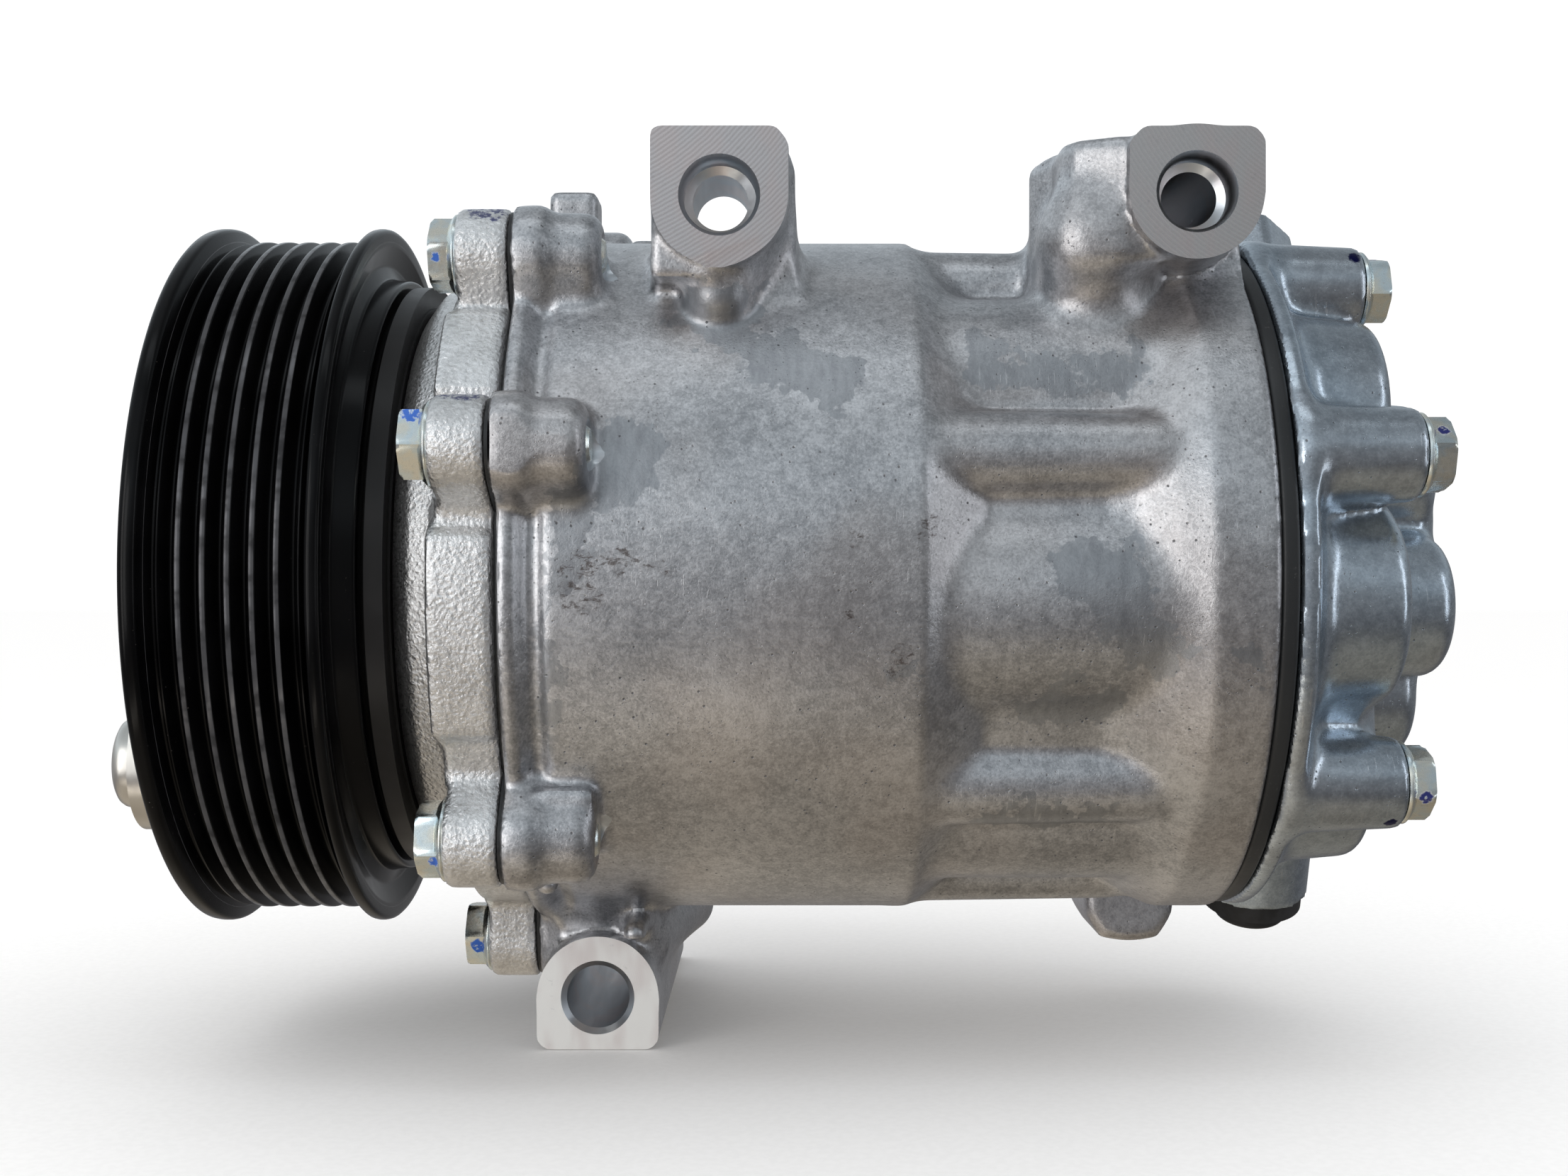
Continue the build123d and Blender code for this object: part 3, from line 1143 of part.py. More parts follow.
with BuildPart() as control_valve:
    with BuildSketch(valve_plane.offset(-8.0)):
        Circle(VALVE_R - 0.02)
    extrude(amount=-6.0)
    with BuildSketch(valve_plane.offset(-14.0)):
        Circle(VALVE_R - 1.6)
    extrude(amount=-10.0)
    with BuildSketch(valve_plane.offset(-24.0)):
        Circle(VALVE_R - 3.4)
    extrude(amount=-7.5)
control_valve.part.label = "control_valve"
export_step(control_valve.part, "parts/control_valve.step")

with BuildPart() as control_valve_cap:
    with BuildSketch(valve_plane):
        Circle(VALVE_R - 1.0)
    extrude(amount=-3.0)
    with BuildSketch(valve_plane.offset(-3.0)):
        Circle(VALVE_R + 1.6)
    extrude(amount=-2.98)
    with BuildSketch(valve_plane.offset(-5.9)):
        Circle(VALVE_R - 0.02)
    extrude(amount=-2.0)
    fillet(control_valve_cap.faces().sort_by(Axis.Z)[0].edges(), 0.8)
control_valve_cap.part.label = "control_valve_cap"
export_step(control_valve_cap.part, "parts/control_valve_cap.step")

with BuildPart() as relief_valve:
    with BuildSketch(Plane.XZ.offset(-RELIEF_Y - 11.0)):
        with Locations((RELIEF_X, RELIEF_Z)):
            RegularPolygon(6.5, 6, major_radius=False)
    extrude(amount=-6.0)
    with BuildSketch(Plane.XZ.offset(-RELIEF_Y - 17.0)):
        with Locations((RELIEF_X, RELIEF_Z)):
            Circle(4.6)
            Circle(2.0, mode=Mode.SUBTRACT)
    extrude(amount=-4.0)
    with BuildSketch(Plane.XZ.offset(-RELIEF_Y - 11.0)):
        with Locations((RELIEF_X, RELIEF_Z)):
            Circle(4.98)
    extrude(amount=9.0)
relief_valve.part.label = "relief_valve"
export_step(relief_valve.part, "parts/relief_valve.step")
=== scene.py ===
import json
import math

import bmesh
import bpy
import numpy as np
import openvdb
from mathutils import Matrix, Vector


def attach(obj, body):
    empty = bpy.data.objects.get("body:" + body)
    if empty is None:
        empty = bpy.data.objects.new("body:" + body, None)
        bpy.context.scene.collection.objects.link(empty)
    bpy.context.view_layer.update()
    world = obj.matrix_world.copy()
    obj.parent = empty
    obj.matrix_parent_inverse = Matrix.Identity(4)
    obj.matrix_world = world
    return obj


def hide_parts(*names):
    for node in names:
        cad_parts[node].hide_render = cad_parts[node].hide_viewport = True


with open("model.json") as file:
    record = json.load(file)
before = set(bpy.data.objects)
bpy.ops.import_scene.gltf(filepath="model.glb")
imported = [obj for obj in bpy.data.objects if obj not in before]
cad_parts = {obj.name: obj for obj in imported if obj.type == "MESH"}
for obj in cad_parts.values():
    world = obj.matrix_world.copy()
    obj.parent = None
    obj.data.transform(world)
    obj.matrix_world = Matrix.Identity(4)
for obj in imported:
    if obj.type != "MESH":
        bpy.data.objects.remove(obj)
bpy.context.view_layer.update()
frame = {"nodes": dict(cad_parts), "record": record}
NODES = frame["nodes"]

# All sizes below are in millimetres in the shared frame; meshes are scaled to metres as they are made.
# Angles on an end view count from the near side (-Y), upward.
MM = 0.001

# ---------------------------------------------------------------- sizes shared with the CAD model
FRONT_SCREWS = [(61, 53.9), (61, 17.4), (61, -40.9), (62.3, -88), (61, 110), (61, 163), (61, 217)]
CYLINDERS, PETALS, REAR_SCREW_R, BORE_PITCH_R = 7, 5, 50, 36.5
REAR_SCREWS = [(REAR_SCREW_R, angle) for angle in (20.6, 69.4, 121.1, 172.5, 226.0, 319.8)]
LOW_RIB = (REAR_SCREW_R, 275.4)
BORE_SPOTS = [(BORE_PITCH_R, -7.5 + 360 / CYLINDERS * i) for i in range(CYLINDERS)]
PAD_SPANS = [(26.5, 45.5), (-26.4, 6.9), (63, 101), (119, 154), (172, 208), (226, 262)]
JOINT, BODY_FRONT, FLANGE_REAR, BOSS_REAR = 38.3, 38.8, 43.4, 52.3
BLOCK_STEP, RING_FRONT, DECK = 100.8, 143.0, 152.3
HEAD_FRONT, HEAD_LOBE_REAR, HEAD_BOSS_REAR, HEAD_TOP = 155.1, 173.7, 174.8, 187.7
BODY_R, VALLEY_R, CAVITY_R = 57.0, 50.5, 51.5
EAR_FACE_Y = -47.0
FRONT_EAR, REAR_EAR, LOW_EAR, LUG_EAR = (70.6, 56.5), (142.1, 57.0), (49.4, -70.2), (143.8, -59.2)
LOW_EAR_Y, LOW_EAR_BACK, LOW_EAR_FOOT = -17.0, 60.0, -78.8
CUPS = [(43, 76 + 120 * i) for i in range(3)]
PORT_ANGLE, PORT_X, PORT_FACE_R = 121.1, 166.0, 65.0
VALVE_ANGLE, VALVE_X, VALVE_TIP_R = 249.6, 167.6, 67.5
RELIEF = (166.5, -14.0)
FRONT_SEAT, HEAD_FLOOR = 30.2, 157


def at(radius, angle):
    """(y, z) of a point on an end view."""
    return (-radius * math.cos(math.radians(angle)), radius * math.sin(math.radians(angle)))


# ---------------------------------------------------------------- distance fields for the castings
def smooth_min(a, b, k):
    if k <= 0:
        return np.minimum(a, b)
    h = np.maximum(k - np.abs(a - b), 0) / k
    return np.minimum(a, b) - h * h * k * 0.25


def polygon(u, v, points):
    """Signed distance from (u, v) to a closed polygon."""
    best, sign = None, 1.0
    for i, (ax, ay) in enumerate(points):
        bx, by = points[i - 1]
        ex, ey = bx - ax, by - ay
        wx, wy = u - ax, v - ay
        t = np.clip((wx * ex + wy * ey) / (ex * ex + ey * ey), 0, 1)
        d = (wx - ex * t) ** 2 + (wy - ey * t) ** 2
        best = d if best is None else np.minimum(best, d)
        c1, c2, c3 = v >= ay, v < by, ex * wy > ey * wx
        flip = (c1 & c2 & c3) | (~c1 & ~c2 & ~c3)
        sign = np.where(flip, -sign, sign)
    return sign * np.sqrt(best)


def extruded(flat, along, a, b, edge=0.0):
    """A flat distance carried from a to b, with its end edges rounded."""
    w = np.abs(along - (a + b) / 2) - (b - a) / 2 + edge
    f = flat + edge
    return np.minimum(np.maximum(f, w), 0) + np.hypot(np.maximum(f, 0), np.maximum(w, 0)) - edge


def cylinder_x(spot, r, x0, x1, edge=0.0):
    cy, cz = at(*spot)
    return ((x0, cy - r, cz - r), (x1, cy + r, cz + r),
            lambda x, y, z: extruded(np.hypot(y - cy, z - cz) - r, x, x0, x1, edge))


def drafted_x(spot, r0, r1, x0, x1, edge=0.0):
    """A boss along X whose radius goes from r0 at x0 to r1 at x1."""
    cy, cz = at(*spot)
    r = max(r0, r1)

    def field(x, y, z):
        radius = r0 + (r1 - r0) * np.clip((x - x0) / (x1 - x0), 0, 1)
        return extruded(np.hypot(y - cy, z - cz) - radius, x, x0, x1, edge)
    return ((x0, cy - r, cz - r), (x1, cy + r, cz + r), field)


def pear_x(spot, tip, root, inset, x0, x1, edge=0.0):
    """A boss that widens from a screw towards the shaft."""
    a, b = np.array(at(*spot)), np.array(at(spot[0] - inset, spot[1]))
    span = b - a
    low, high = np.minimum(a, b) - max(tip, root), np.maximum(a, b) + max(tip, root)

    def field(x, y, z):
        t = np.clip(((y - a[0]) * span[0] + (z - a[1]) * span[1]) / (span @ span), 0, 1)
        flat = np.hypot(y - a[0] - t * span[0], z - a[1] - t * span[1]) - (tip + t * (root - tip))
        return extruded(flat, x, x0, x1, edge)
    return ((x0, *low), (x1, *high), field)


def cylinder_y(centre, r, y0, y1, edge=0.0):
    cx, cz = centre
    return ((cx - r, y0, cz - r), (cx + r, y1, cz + r),
            lambda x, y, z: extruded(np.hypot(x - cx, z - cz) - r, y, y0, y1, edge))


def prism(axis, points, a, b, edge=0.0):
    """A polygon in the other two axes, in order, carried along one axis."""
    u0, v0 = np.min(points, 0)
    u1, v1 = np.max(points, 0)
    low, high = [u0, v0], [u1, v1]
    low.insert(axis, a)
    high.insert(axis, b)

    def field(x, y, z):
        p = [x, y, z]
        along = p.pop(axis)
        return extruded(polygon(p[0], p[1], points), along, a, b, edge)
    return (low, high, field)


def box(low, high, edge=0.0):
    mid, half = (np.add(low, high)) / 2, (np.subtract(high, low)) / 2

    def field(x, y, z):
        q = [np.abs(p - m) - h + edge for p, m, h in zip((x, y, z), mid, half)]
        out = np.sqrt(sum(np.maximum(c, 0) ** 2 for c in q))
        return out + np.minimum(np.maximum(np.maximum(q[0], q[1]), q[2]), 0) - edge
    return (low, high, field)


def rod(p0, p1, r0, r1):
    """A rounded bar between two points."""
    p0, p1 = np.array(p0, float), np.array(p1, float)
    span, r = p1 - p0, max(r0, r1)

    def field(x, y, z):
        t = np.clip(sum((c - o) * s for c, o, s in zip((x, y, z), p0, span)) / (span @ span), 0, 1)
        d = np.sqrt(sum((c - o - t * s) ** 2 for c, o, s in zip((x, y, z), p0, span)))
        return d - (r0 + t * (r1 - r0))
    return (np.minimum(p0, p1) - r, np.maximum(p0, p1) + r, field)


def turned(points):
    """A closed (x, radius) outline turned about the shaft."""
    x0, x1 = min(p[0] for p in points), max(p[0] for p in points)
    rmax = max(p[1] for p in points)

    def field(x, y, z):
        radii = np.arange(0, 100, 0.2, np.float32)
        table = polygon(x[:, 0, :], radii[None, :], points).astype(np.float32)
        r = np.hypot(y, z)[0] / 0.2
        i = r.astype(int)
        f = (r - i).astype(np.float32)
        return table[:, i] * (1 - f) + table[:, i + 1] * f
    return ((x0, -rmax, -rmax), (x1, rmax, rmax), field)


class Field:
    """A signed distance on a regular grid, built up by adding and cutting shapes."""

    def __init__(self, low, high, step):
        self.step = step
        self.low = np.array(low, float) - 4 * step
        count = np.ceil((np.array(high) + 4 * step - self.low) / step).astype(int) + 1
        self.axes = [(self.low[i] + step * np.arange(count[i])).astype(np.float32) for i in range(3)]
        self.d = np.full(count, 30.0, np.float32)

    def _window(self, low, high, pad):
        spans = []
        for i in range(3):
            a = max(0, int((low[i] - pad - self.low[i]) / self.step))
            b = min(len(self.axes[i]), int((high[i] + pad - self.low[i]) / self.step) + 2)
            spans.append(slice(a, b))
        x, y, z = (self.axes[i][spans[i]] for i in range(3))
        return tuple(spans), x[:, None, None], y[None, :, None], z[None, None, :]

    def add(self, shape, k=0.0):
        where, x, y, z = self._window(shape[0], shape[1], k + 2)
        self.d[where] = smooth_min(self.d[where], shape[2](x, y, z), k)

    def cut(self, shape, k=0.0):
        where, x, y, z = self._window(shape[0], shape[1], k + 2)
        self.d[where] = -smooth_min(-self.d[where], shape[2](x, y, z), k)

    def soften(self, passes):
        """Rounds every edge a little, as a casting's are."""
        for _ in range(passes):
            for axis in range(3):
                d = self.d
                self.d = (np.roll(d, 1, axis) + 2 * d + np.roll(d, -1, axis)) / 4

    def mesh(self, name):
        band = 3 * self.step
        grid = openvdb.FloatGrid(band)
        grid.copyFromArray(np.clip(self.d, -band, band))
        points, triangles, quads = grid.convertToPolygons(isovalue=0.0, adaptivity=0.0)
        co = (points * self.step + self.low) * MM
        faces = [tuple(int(i) for i in f[::-1]) for f in quads] + [tuple(int(i) for i in f[::-1])
                for f in triangles]
        data = bpy.data.meshes.new(name)
        data.from_pydata(co.tolist(), [], faces)
        data.update()
        obj = bpy.data.objects.new(name, data)
        bpy.context.scene.collection.objects.link(obj)
        return obj


# ---------------------------------------------------------------- mesh helpers
def mesh_object(name, points, faces):
    data = bpy.data.meshes.new(name)
    data.from_pydata([tuple(c * MM for c in p) for p in points], [], faces)
    data.update()
    obj = bpy.data.objects.new(name, data)
    bpy.context.scene.collection.objects.link(obj)
    return obj


def smooth(obj, angle=32):
    obj.data.shade_smooth()
    obj.data.set_sharp_from_angle(angle=math.radians(angle))


def along_x(x, spot=(0, 0)):
    """A place at a spot of the end view, with its axis along +X."""
    return Matrix.Translation((x, *at(*spot)))


def lathe(name, outline, segments=96, place=None):
    """A closed (along, radius) outline turned about X; place moves the result, in millimetres."""
    points, faces = [], []
    n = len(outline)
    for j in range(segments):
        a = 2 * math.pi * j / segments
        points += [(x, r * math.cos(a), r * math.sin(a)) for x, r in outline]
    for j in range(segments):
        k = (j + 1) % segments
        for i in range(n):
            m = (i + 1) % n
            faces.append((j * n + i, j * n + m, k * n + m, k * n + i))
    if place is not None:
        points = [tuple(place @ Vector(p)) for p in points]
    obj = mesh_object(name, points, faces)
    merge(obj)
    return obj


def merge(obj, distance=1e-7):
    bm = bmesh.new()
    bm.from_mesh(obj.data)
    bmesh.ops.remove_doubles(bm, verts=bm.verts, dist=distance)
    bmesh.ops.dissolve_degenerate(bm, edges=bm.edges, dist=distance)
    bmesh.ops.recalc_face_normals(bm, faces=bm.faces)
    bm.to_mesh(obj.data)
    bm.free()


def rounded(points, radius, steps=4):
    """An outline with its corners replaced by short arcs. A point may carry its own radius."""
    result, n = [], len(points)
    for i in range(n):
        p = Vector(points[i][:2])
        a, b = Vector(points[i - 1][:2]), Vector(points[(i + 1) % n][:2])
        r = points[i][2] if len(points[i]) > 2 else radius
        u, v = (a - p), (b - p)
        if r <= 0 or u.length < 1e-6 or v.length < 1e-6:
            result.append((p.x, p.y))
            continue
        half = u.angle(v) / 2
        cut = min(r / max(math.tan(half), 1e-3), 0.45 * u.length, 0.45 * v.length)
        s, e = p + u.normalized() * cut, p + v.normalized() * cut
        for k in range(steps + 1):
            t = k / steps
            q = s * (1 - t) ** 2 + p * 2 * t * (1 - t) + e * t * t
            result.append((q.x, q.y))
    return result


def join(name, objects):
    """Several objects made into one."""
    points, faces, materials, marks = [], [], [], []
    for o in objects:
        base = len(points)
        points += [tuple(o.matrix_world @ v.co) for v in o.data.vertices]
        for m in o.data.materials:
            if m not in materials:
                materials.append(m)
        for f in o.data.polygons:
            faces.append(tuple(base + i for i in f.vertices))
            own = o.data.materials[f.material_index] if o.data.materials else None
            marks.append(materials.index(own) if own else 0)
        bpy.data.objects.remove(o)
    data = bpy.data.meshes.new(name)
    data.from_pydata(points, [], faces)
    for m in materials:
        data.materials.append(m)
    data.polygons.foreach_set("material_index", marks)
    data.update()
    obj = bpy.data.objects.new(name, data)
    bpy.context.scene.collection.objects.link(obj)
    return obj


def carve(obj, cutters):
    """Cuts each closed cutter out of obj, which takes the cutters' materials on the cut faces."""
    tool = join("cutters", cutters)
    for m in tool.data.materials:
        if m.name not in [n.name for n in obj.data.materials if n]:
            obj.data.materials.append(m)
    mod = obj.modifiers.new("carve", "BOOLEAN")
    mod.operation = "DIFFERENCE"
    mod.object = tool
    mod.solver = "MANIFOLD"
    mod.material_mode = "TRANSFER"
    bpy.context.view_layer.update()
    dg = bpy.context.evaluated_depsgraph_get()
    result = bpy.data.meshes.new_from_object(obj.evaluated_get(dg), depsgraph=dg)
    obj.modifiers.clear()
    obj.data = result
    bpy.data.objects.remove(tool)


def drill(outline, place, material, segments=72):
    """A closed lathe cutter: (depth, radius) points from the axis out and back."""
    obj = lathe("cutter", outline, segments, place)
    obj.data.materials.append(material)
    return obj


def block(low, high, material):
    (a, b, c), (d, e, f) = low, high
    points = [(a, b, c), (d, b, c), (d, e, c), (a, e, c), (a, b, f), (d, b, f), (d, e, f), (a, e, f)]
    faces = [(0, 3, 2, 1), (4, 5, 6, 7), (0, 1, 5, 4), (1, 2, 6, 5), (2, 3, 7, 6), (3, 0, 4, 7)]
    obj = mesh_object("cutter", points, faces)
    obj.data.materials.append(material)
    return obj


def facing(origin, direction):
    """A place whose X axis points along direction."""
    x = Vector(direction).normalized()
    y = x.orthogonal().normalized()
    z = x.cross(y)
    m = Matrix((x, y, z)).transposed().to_4x4()
    m.translation = Vector(origin)
    return m


# ---------------------------------------------------------------- materials
BLOT_DEPTH = 14.0


class Nodes:
    """Short calls that build a material's node tree. Textures read object coordinates, in millimetres."""

    def __init__(self, name, **sockets):
        self.material = bpy.data.materials.new(name)
        self.material.use_nodes = True
        self.tree = self.material.node_tree
        self.shader = self.tree.nodes["Principled BSDF"]
        for key, value in sockets.items():
            self.shader.inputs[key.replace("_", " ")].default_value = value
        coords = self.tree.nodes.new("ShaderNodeTexCoord")
        scale = self.tree.nodes.new("ShaderNodeMapping")
        scale.inputs["Scale"].default_value = (1000, 1000, 1000)
        self.link(coords.outputs["Object"], scale.inputs["Vector"])
        self.mm = scale.outputs["Vector"]

    def link(self, a, b):
        self.tree.links.new(a, b)

    def put(self, socket, value):
        if hasattr(value, "is_linked") or isinstance(value, bpy.types.NodeSocket):
            self.link(value, socket)
        else:
            socket.default_value = value

    def new(self, kind, vector=None, **inputs):
        n = self.tree.nodes.new("ShaderNode" + kind)
        for key, value in inputs.items():
            n.inputs[key].default_value = value
        if vector is not None:
            self.link(vector, n.inputs["Vector"])
        return n

    def math(self, op, a, b=0.0, c=0.0, clamp=False):
        n = self.tree.nodes.new("ShaderNodeMath")
        n.operation, n.use_clamp = op, clamp
        for s, v in zip(n.inputs, (a, b, c)):
            self.put(s, v)
        return n.outputs[0]

    def vector(self, op, a, b=(0, 0, 0)):
        n = self.tree.nodes.new("ShaderNodeVectorMath")
        n.operation = op
        self.put(n.inputs[0], a)
        if op == "SCALE":
            self.put(n.inputs["Scale"], b)
        else:
            self.put(n.inputs[1], b)
        return n.outputs["Value"] if op in ("LENGTH", "DISTANCE", "DOT_PRODUCT") else n.outputs[0]

    def noise(self, size, detail=3.0, rough=0.55, warp=0.0, at=None, colour=False):
        """Noise whose blobs are about size millimetres across."""
        n = self.new("TexNoise", at or self.mm, Scale=1 / size, Detail=detail, Roughness=rough,
                     Distortion=warp)
        return n.outputs["Color" if colour else "Fac"]

    def cells(self, size, feature="F1", at=None, output="Distance"):
        n = self.new("TexVoronoi", at or self.mm, Scale=1 / size)
        n.feature = feature
        return n.outputs[output]

    def stretched(self, scale, turn=(0, 0, 0)):
        n = self.new("Mapping", self.mm, Scale=scale, Rotation=[math.radians(a) for a in turn])
        return n.outputs["Vector"]

    def ramp(self, value, low, high, out_low=0.0, out_high=1.0):
        n = self.tree.nodes.new("ShaderNodeMapRange")
        n.interpolation_type = "SMOOTHSTEP"
        for s, v in zip(n.inputs, (value, low, high, out_low, out_high)):
            self.put(s, v)
        return n.outputs["Result"]

    def mix(self, amount, a, b, mode="MIX"):
        n = self.tree.nodes.new("ShaderNodeMix")
        n.data_type, n.blend_type = "RGBA", mode
        self.put(n.inputs[0], amount)
        for s, v in ((n.inputs[6], a), (n.inputs[7], b)):
            self.put(s, v if not isinstance(v, tuple) else (*v, 1.0))
        return n.outputs[2]

    def times(self, a, b):
        return self.math("MULTIPLY", a, b)

    def fma(self, a, b, c, clamp=False):
        """a times b, plus c."""
        return self.math("MULTIPLY_ADD", a, b, c, clamp=clamp)

    def bump(self, height, strength, distance=0.1, after=None):
        n = self.new("Bump", Strength=strength, Distance=distance * MM)
        self.link(height, n.inputs["Height"])
        if after is not None:
            self.link(after, n.inputs["Normal"])
        return n.outputs["Normal"]

    def blot(self, centre, size, tilt, wobble):
        """1 inside a ragged oval patch (half sizes along X and Z, turned about Y), 0 outside."""
        n = self.new("Mapping", self.vector("ADD", self.mm, wobble), Location=centre,
                     Rotation=(0, math.radians(tilt), 0), Scale=(size[0], BLOT_DEPTH, size[1]))
        n.vector_type = "TEXTURE"
        edge = 0.25 / min(size)
        return self.ramp(self.vector("LENGTH", n.outputs["Vector"]), 1 + edge, 1 - edge)

    def dab(self, centre, radius, wobble):
        """1 inside a ragged spot, 0 outside."""
        return self.ramp(self.vector("DISTANCE", self.vector("ADD", self.mm, wobble), centre), radius,
                         radius - 0.35)

    def wobble(self, size, reach, detail=4.0):
        """A vector that pushes points about by up to reach millimetres."""
        c = self.noise(size, detail, 0.6, colour=True)
        return self.vector("SCALE", self.vector("SUBTRACT", c, (0.5, 0.5, 0.5)), reach * 2)

    def most(self, values):
        total = values[0]
        for v in values[1:]:
            total = self.math("MAXIMUM", total, v)
        return total

    def finish(self, colour=None, rough=None, metal=None, normal=None):
        sockets = (("Base Color", colour), ("Roughness", rough), ("Metallic", metal), ("Normal", normal))
        for socket, value in sockets:
            if value is not None:
                self.put(self.shader.inputs[socket], value if not isinstance(value, tuple) else (*value, 1.0))
        return self.material


def cast_aluminium(name, light, dark, sheen_rough, grain, patches=(), smudges=(), dabs=()):
    """Die-cast skin: fine mottle, dark pin-holes, a soft waviness, hard-edged stains and faint scratches."""
    m = Nodes(name, Metallic=1.0)
    broad = m.noise(22, 3, 0.55)
    mottle = m.noise(1.7, 6, 0.72)
    fine = m.noise(0.42, 4, 0.65)
    tone = m.fma(broad, 0.28, m.fma(mottle, 0.40, m.times(fine, 0.36)))
    colour = m.mix(m.ramp(tone, 0.38, 0.67), dark, light)
    warm = m.ramp(m.noise(34, 2, 0.5, at=m.stretched((1, 1, 1), (40, 10, 70))), 0.45, 0.65)
    colour = m.mix(m.times(warm, 0.16), colour, (0.56, 0.46, 0.40))
    rough = m.fma(mottle, 0.20, sheen_rough - 0.10)
    if patches:
        wob = m.vector("ADD", m.wobble(7, 8, 3), m.wobble(1.5, 2.2, 5))
        stain = m.most([m.blot(*p, wob) for p in patches])
        streaks = m.ramp(m.noise(1.5, 5, 0.62, at=m.stretched((1.0, 0.3, 0.3))), 0.30, 0.70)
        inside = m.mix(streaks, (0.29, 0.30, 0.32), (0.41, 0.425, 0.445))
        colour = m.mix(m.times(stain, 0.76), colour, inside)
        rough = m.fma(stain, 0.03, rough)
    specks = m.ramp(m.cells(1.7), 0.13, 0.07)
    specks = m.times(specks, m.ramp(m.noise(6, 2), 0.45, 0.55))
    pores = m.times(m.ramp(m.cells(0.8), 0.17, 0.08), m.ramp(m.noise(4.5, 2), 0.50, 0.58))
    pits = m.math("MAXIMUM", specks, m.times(pores, 0.6))
    colour = m.mix(m.times(pits, 0.66), colour, (0.10, 0.10, 0.105))
    if smudges:
        wob = m.wobble(2.4, 3.2, 6)
        dirt = m.most([m.blot(*p, wob) for p in smudges])
        grime = m.ramp(m.noise(1.0, 6, 0.72, 0.6, at=m.stretched((0.55, 1, 1.1))), 0.48, 0.62)
        dirt = m.times(dirt, m.fma(grime, 0.72, 0.10))
        colour = m.mix(dirt, colour, (0.105, 0.080, 0.070))
    if dabs:
        ink = m.most([m.dab(c, r, m.wobble(1.2, 0.8, 3)) for c, r in dabs])
        colour = m.mix(ink, colour, (0.006, 0.008, 0.085))
    hair = m.ramp(m.noise(0.42, 2, 0.5, 0.4, at=m.stretched((1, 0.06, 0.12), (28, 0, 18))), 0.655, 0.70)
    hair = m.times(hair, m.ramp(m.noise(19, 2), 0.50, 0.60))
    colour = m.mix(m.times(hair, 0.30), colour, (0.80, 0.80, 0.80))
    rough = m.fma(pits, 0.2, rough, clamp=True)
    waves = m.bump(m.noise(7.5, 2, 0.5), 0.20, 0.50)
    skin = m.bump(m.fma(fine, 0.7, mottle), grain, 0.17, waves)
    holes = m.bump(pits, 0.6, -0.12, skin)
    return m.finish(colour, rough, None, m.bump(hair, 0.25, 0.05, holes))


def rough_cast(name, dabs):
    """Sand-textured skin of the front housing's rim, with smears of marking ink."""
    m = Nodes(name, Metallic=1.0)
    grains = m.cells(0.62, "SMOOTH_F1")
    lumps = m.noise(1.0, 5, 0.66)
    fine = m.noise(0.34, 3, 0.6)
    height = m.fma(lumps, 0.75, m.fma(grains, 0.55, m.times(fine, 0.30)))
    tone = m.fma(m.noise(9, 3), 0.5, m.times(lumps, 0.6))
    colour = m.mix(m.ramp(tone, 0.34, 0.72), (0.62, 0.615, 0.61), (0.90, 0.90, 0.90))
    sparkle = m.ramp(fine, 0.60, 0.70)
    colour = m.mix(m.times(sparkle, 0.7), colour, (0.92, 0.92, 0.92))
    smear = m.most([m.blot(*p, m.wobble(1.6, 1.6, 4)) for p in dabs])
    smear = m.times(smear, m.ramp(lumps, 0.42, 0.56))
    colour = m.mix(m.times(smear, 0.85), colour, (0.012, 0.020, 0.16))
    rough = m.ramp(fine, 0.35, 0.70, 0.50, 0.26)
    return m.finish(colour, rough, None, m.bump(height, 0.85, 0.30))


def machined(name, tint, centre=None, pitch=0.55, turn=0.0, rough0=0.28, metal=1.0):
    """A milled or drilled face: fine arcs of tool marks under a satin sheen."""
    m = Nodes(name, Metallic=metal)
    if centre is None:
        marks = m.noise(0.5, 3, 0.6, at=m.stretched((0.5, 0.05, 0.5), (0, turn, 0)))
    else:
        swept = m.times(m.vector("DISTANCE", m.mm, centre), 1.0 / pitch * math.pi * 2)
        wave = m.math("SINE", m.math("ADD", swept, m.times(m.noise(2.5, 3), 3.0)))
        marks = m.fma(wave, 0.26, m.times(m.noise(0.8, 4, 0.6), 0.5))
    blush = m.ramp(m.noise(8, 2, 0.5, at=m.stretched((1.6, 1, 0.6))), 0.42, 0.66)
    colour = m.mix(m.times(blush, 0.55), tint, (0.70, 0.615, 0.60))
    colour = m.mix(m.times(m.ramp(m.noise(1.7, 5, 0.7), 0.60, 0.72), 0.35), colour, (0.42, 0.42, 0.43))
    rough = m.fma(marks, 0.16, rough0 - 0.05)
    return m.finish(colour, rough, None, m.bump(marks, 0.38, 0.035))


def plated(name, paint=(), paint_colour=(0.012, 0.045, 0.22)):
    """Zinc-plated steel with a faint bluish and yellowish bloom, and dabs of paint."""
    m = Nodes(name, Metallic=1.0)
    bloom = m.noise(3.2, 3, 0.55, 0.5)
    colour = m.mix(m.ramp(bloom, 0.35, 0.65), (0.74, 0.84, 0.87), (0.86, 0.84, 0.74))
    wear = m.noise(0.7, 4, 0.65)
    colour = m.mix(m.times(m.ramp(wear, 0.58, 0.70), 0.4), colour, (0.50, 0.51, 0.50))
    metal = 1.0
    rough = m.fma(wear, 0.22, 0.16)
    if paint:
        wob = m.wobble(1.4, 1.0, 4)
        dab = m.most([m.dab(c, r, wob) for c, r in paint])
        dab = m.times(dab, m.ramp(m.noise(0.8, 4, 0.6), 0.32, 0.46))
        colour = m.mix(dab, colour, paint_colour)
        metal = m.math("SUBTRACT", 1.0, dab)
        rough = m.fma(dab, 0.12, rough)
    return m.finish(colour, rough, metal, m.bump(wear, 0.22, 0.03))


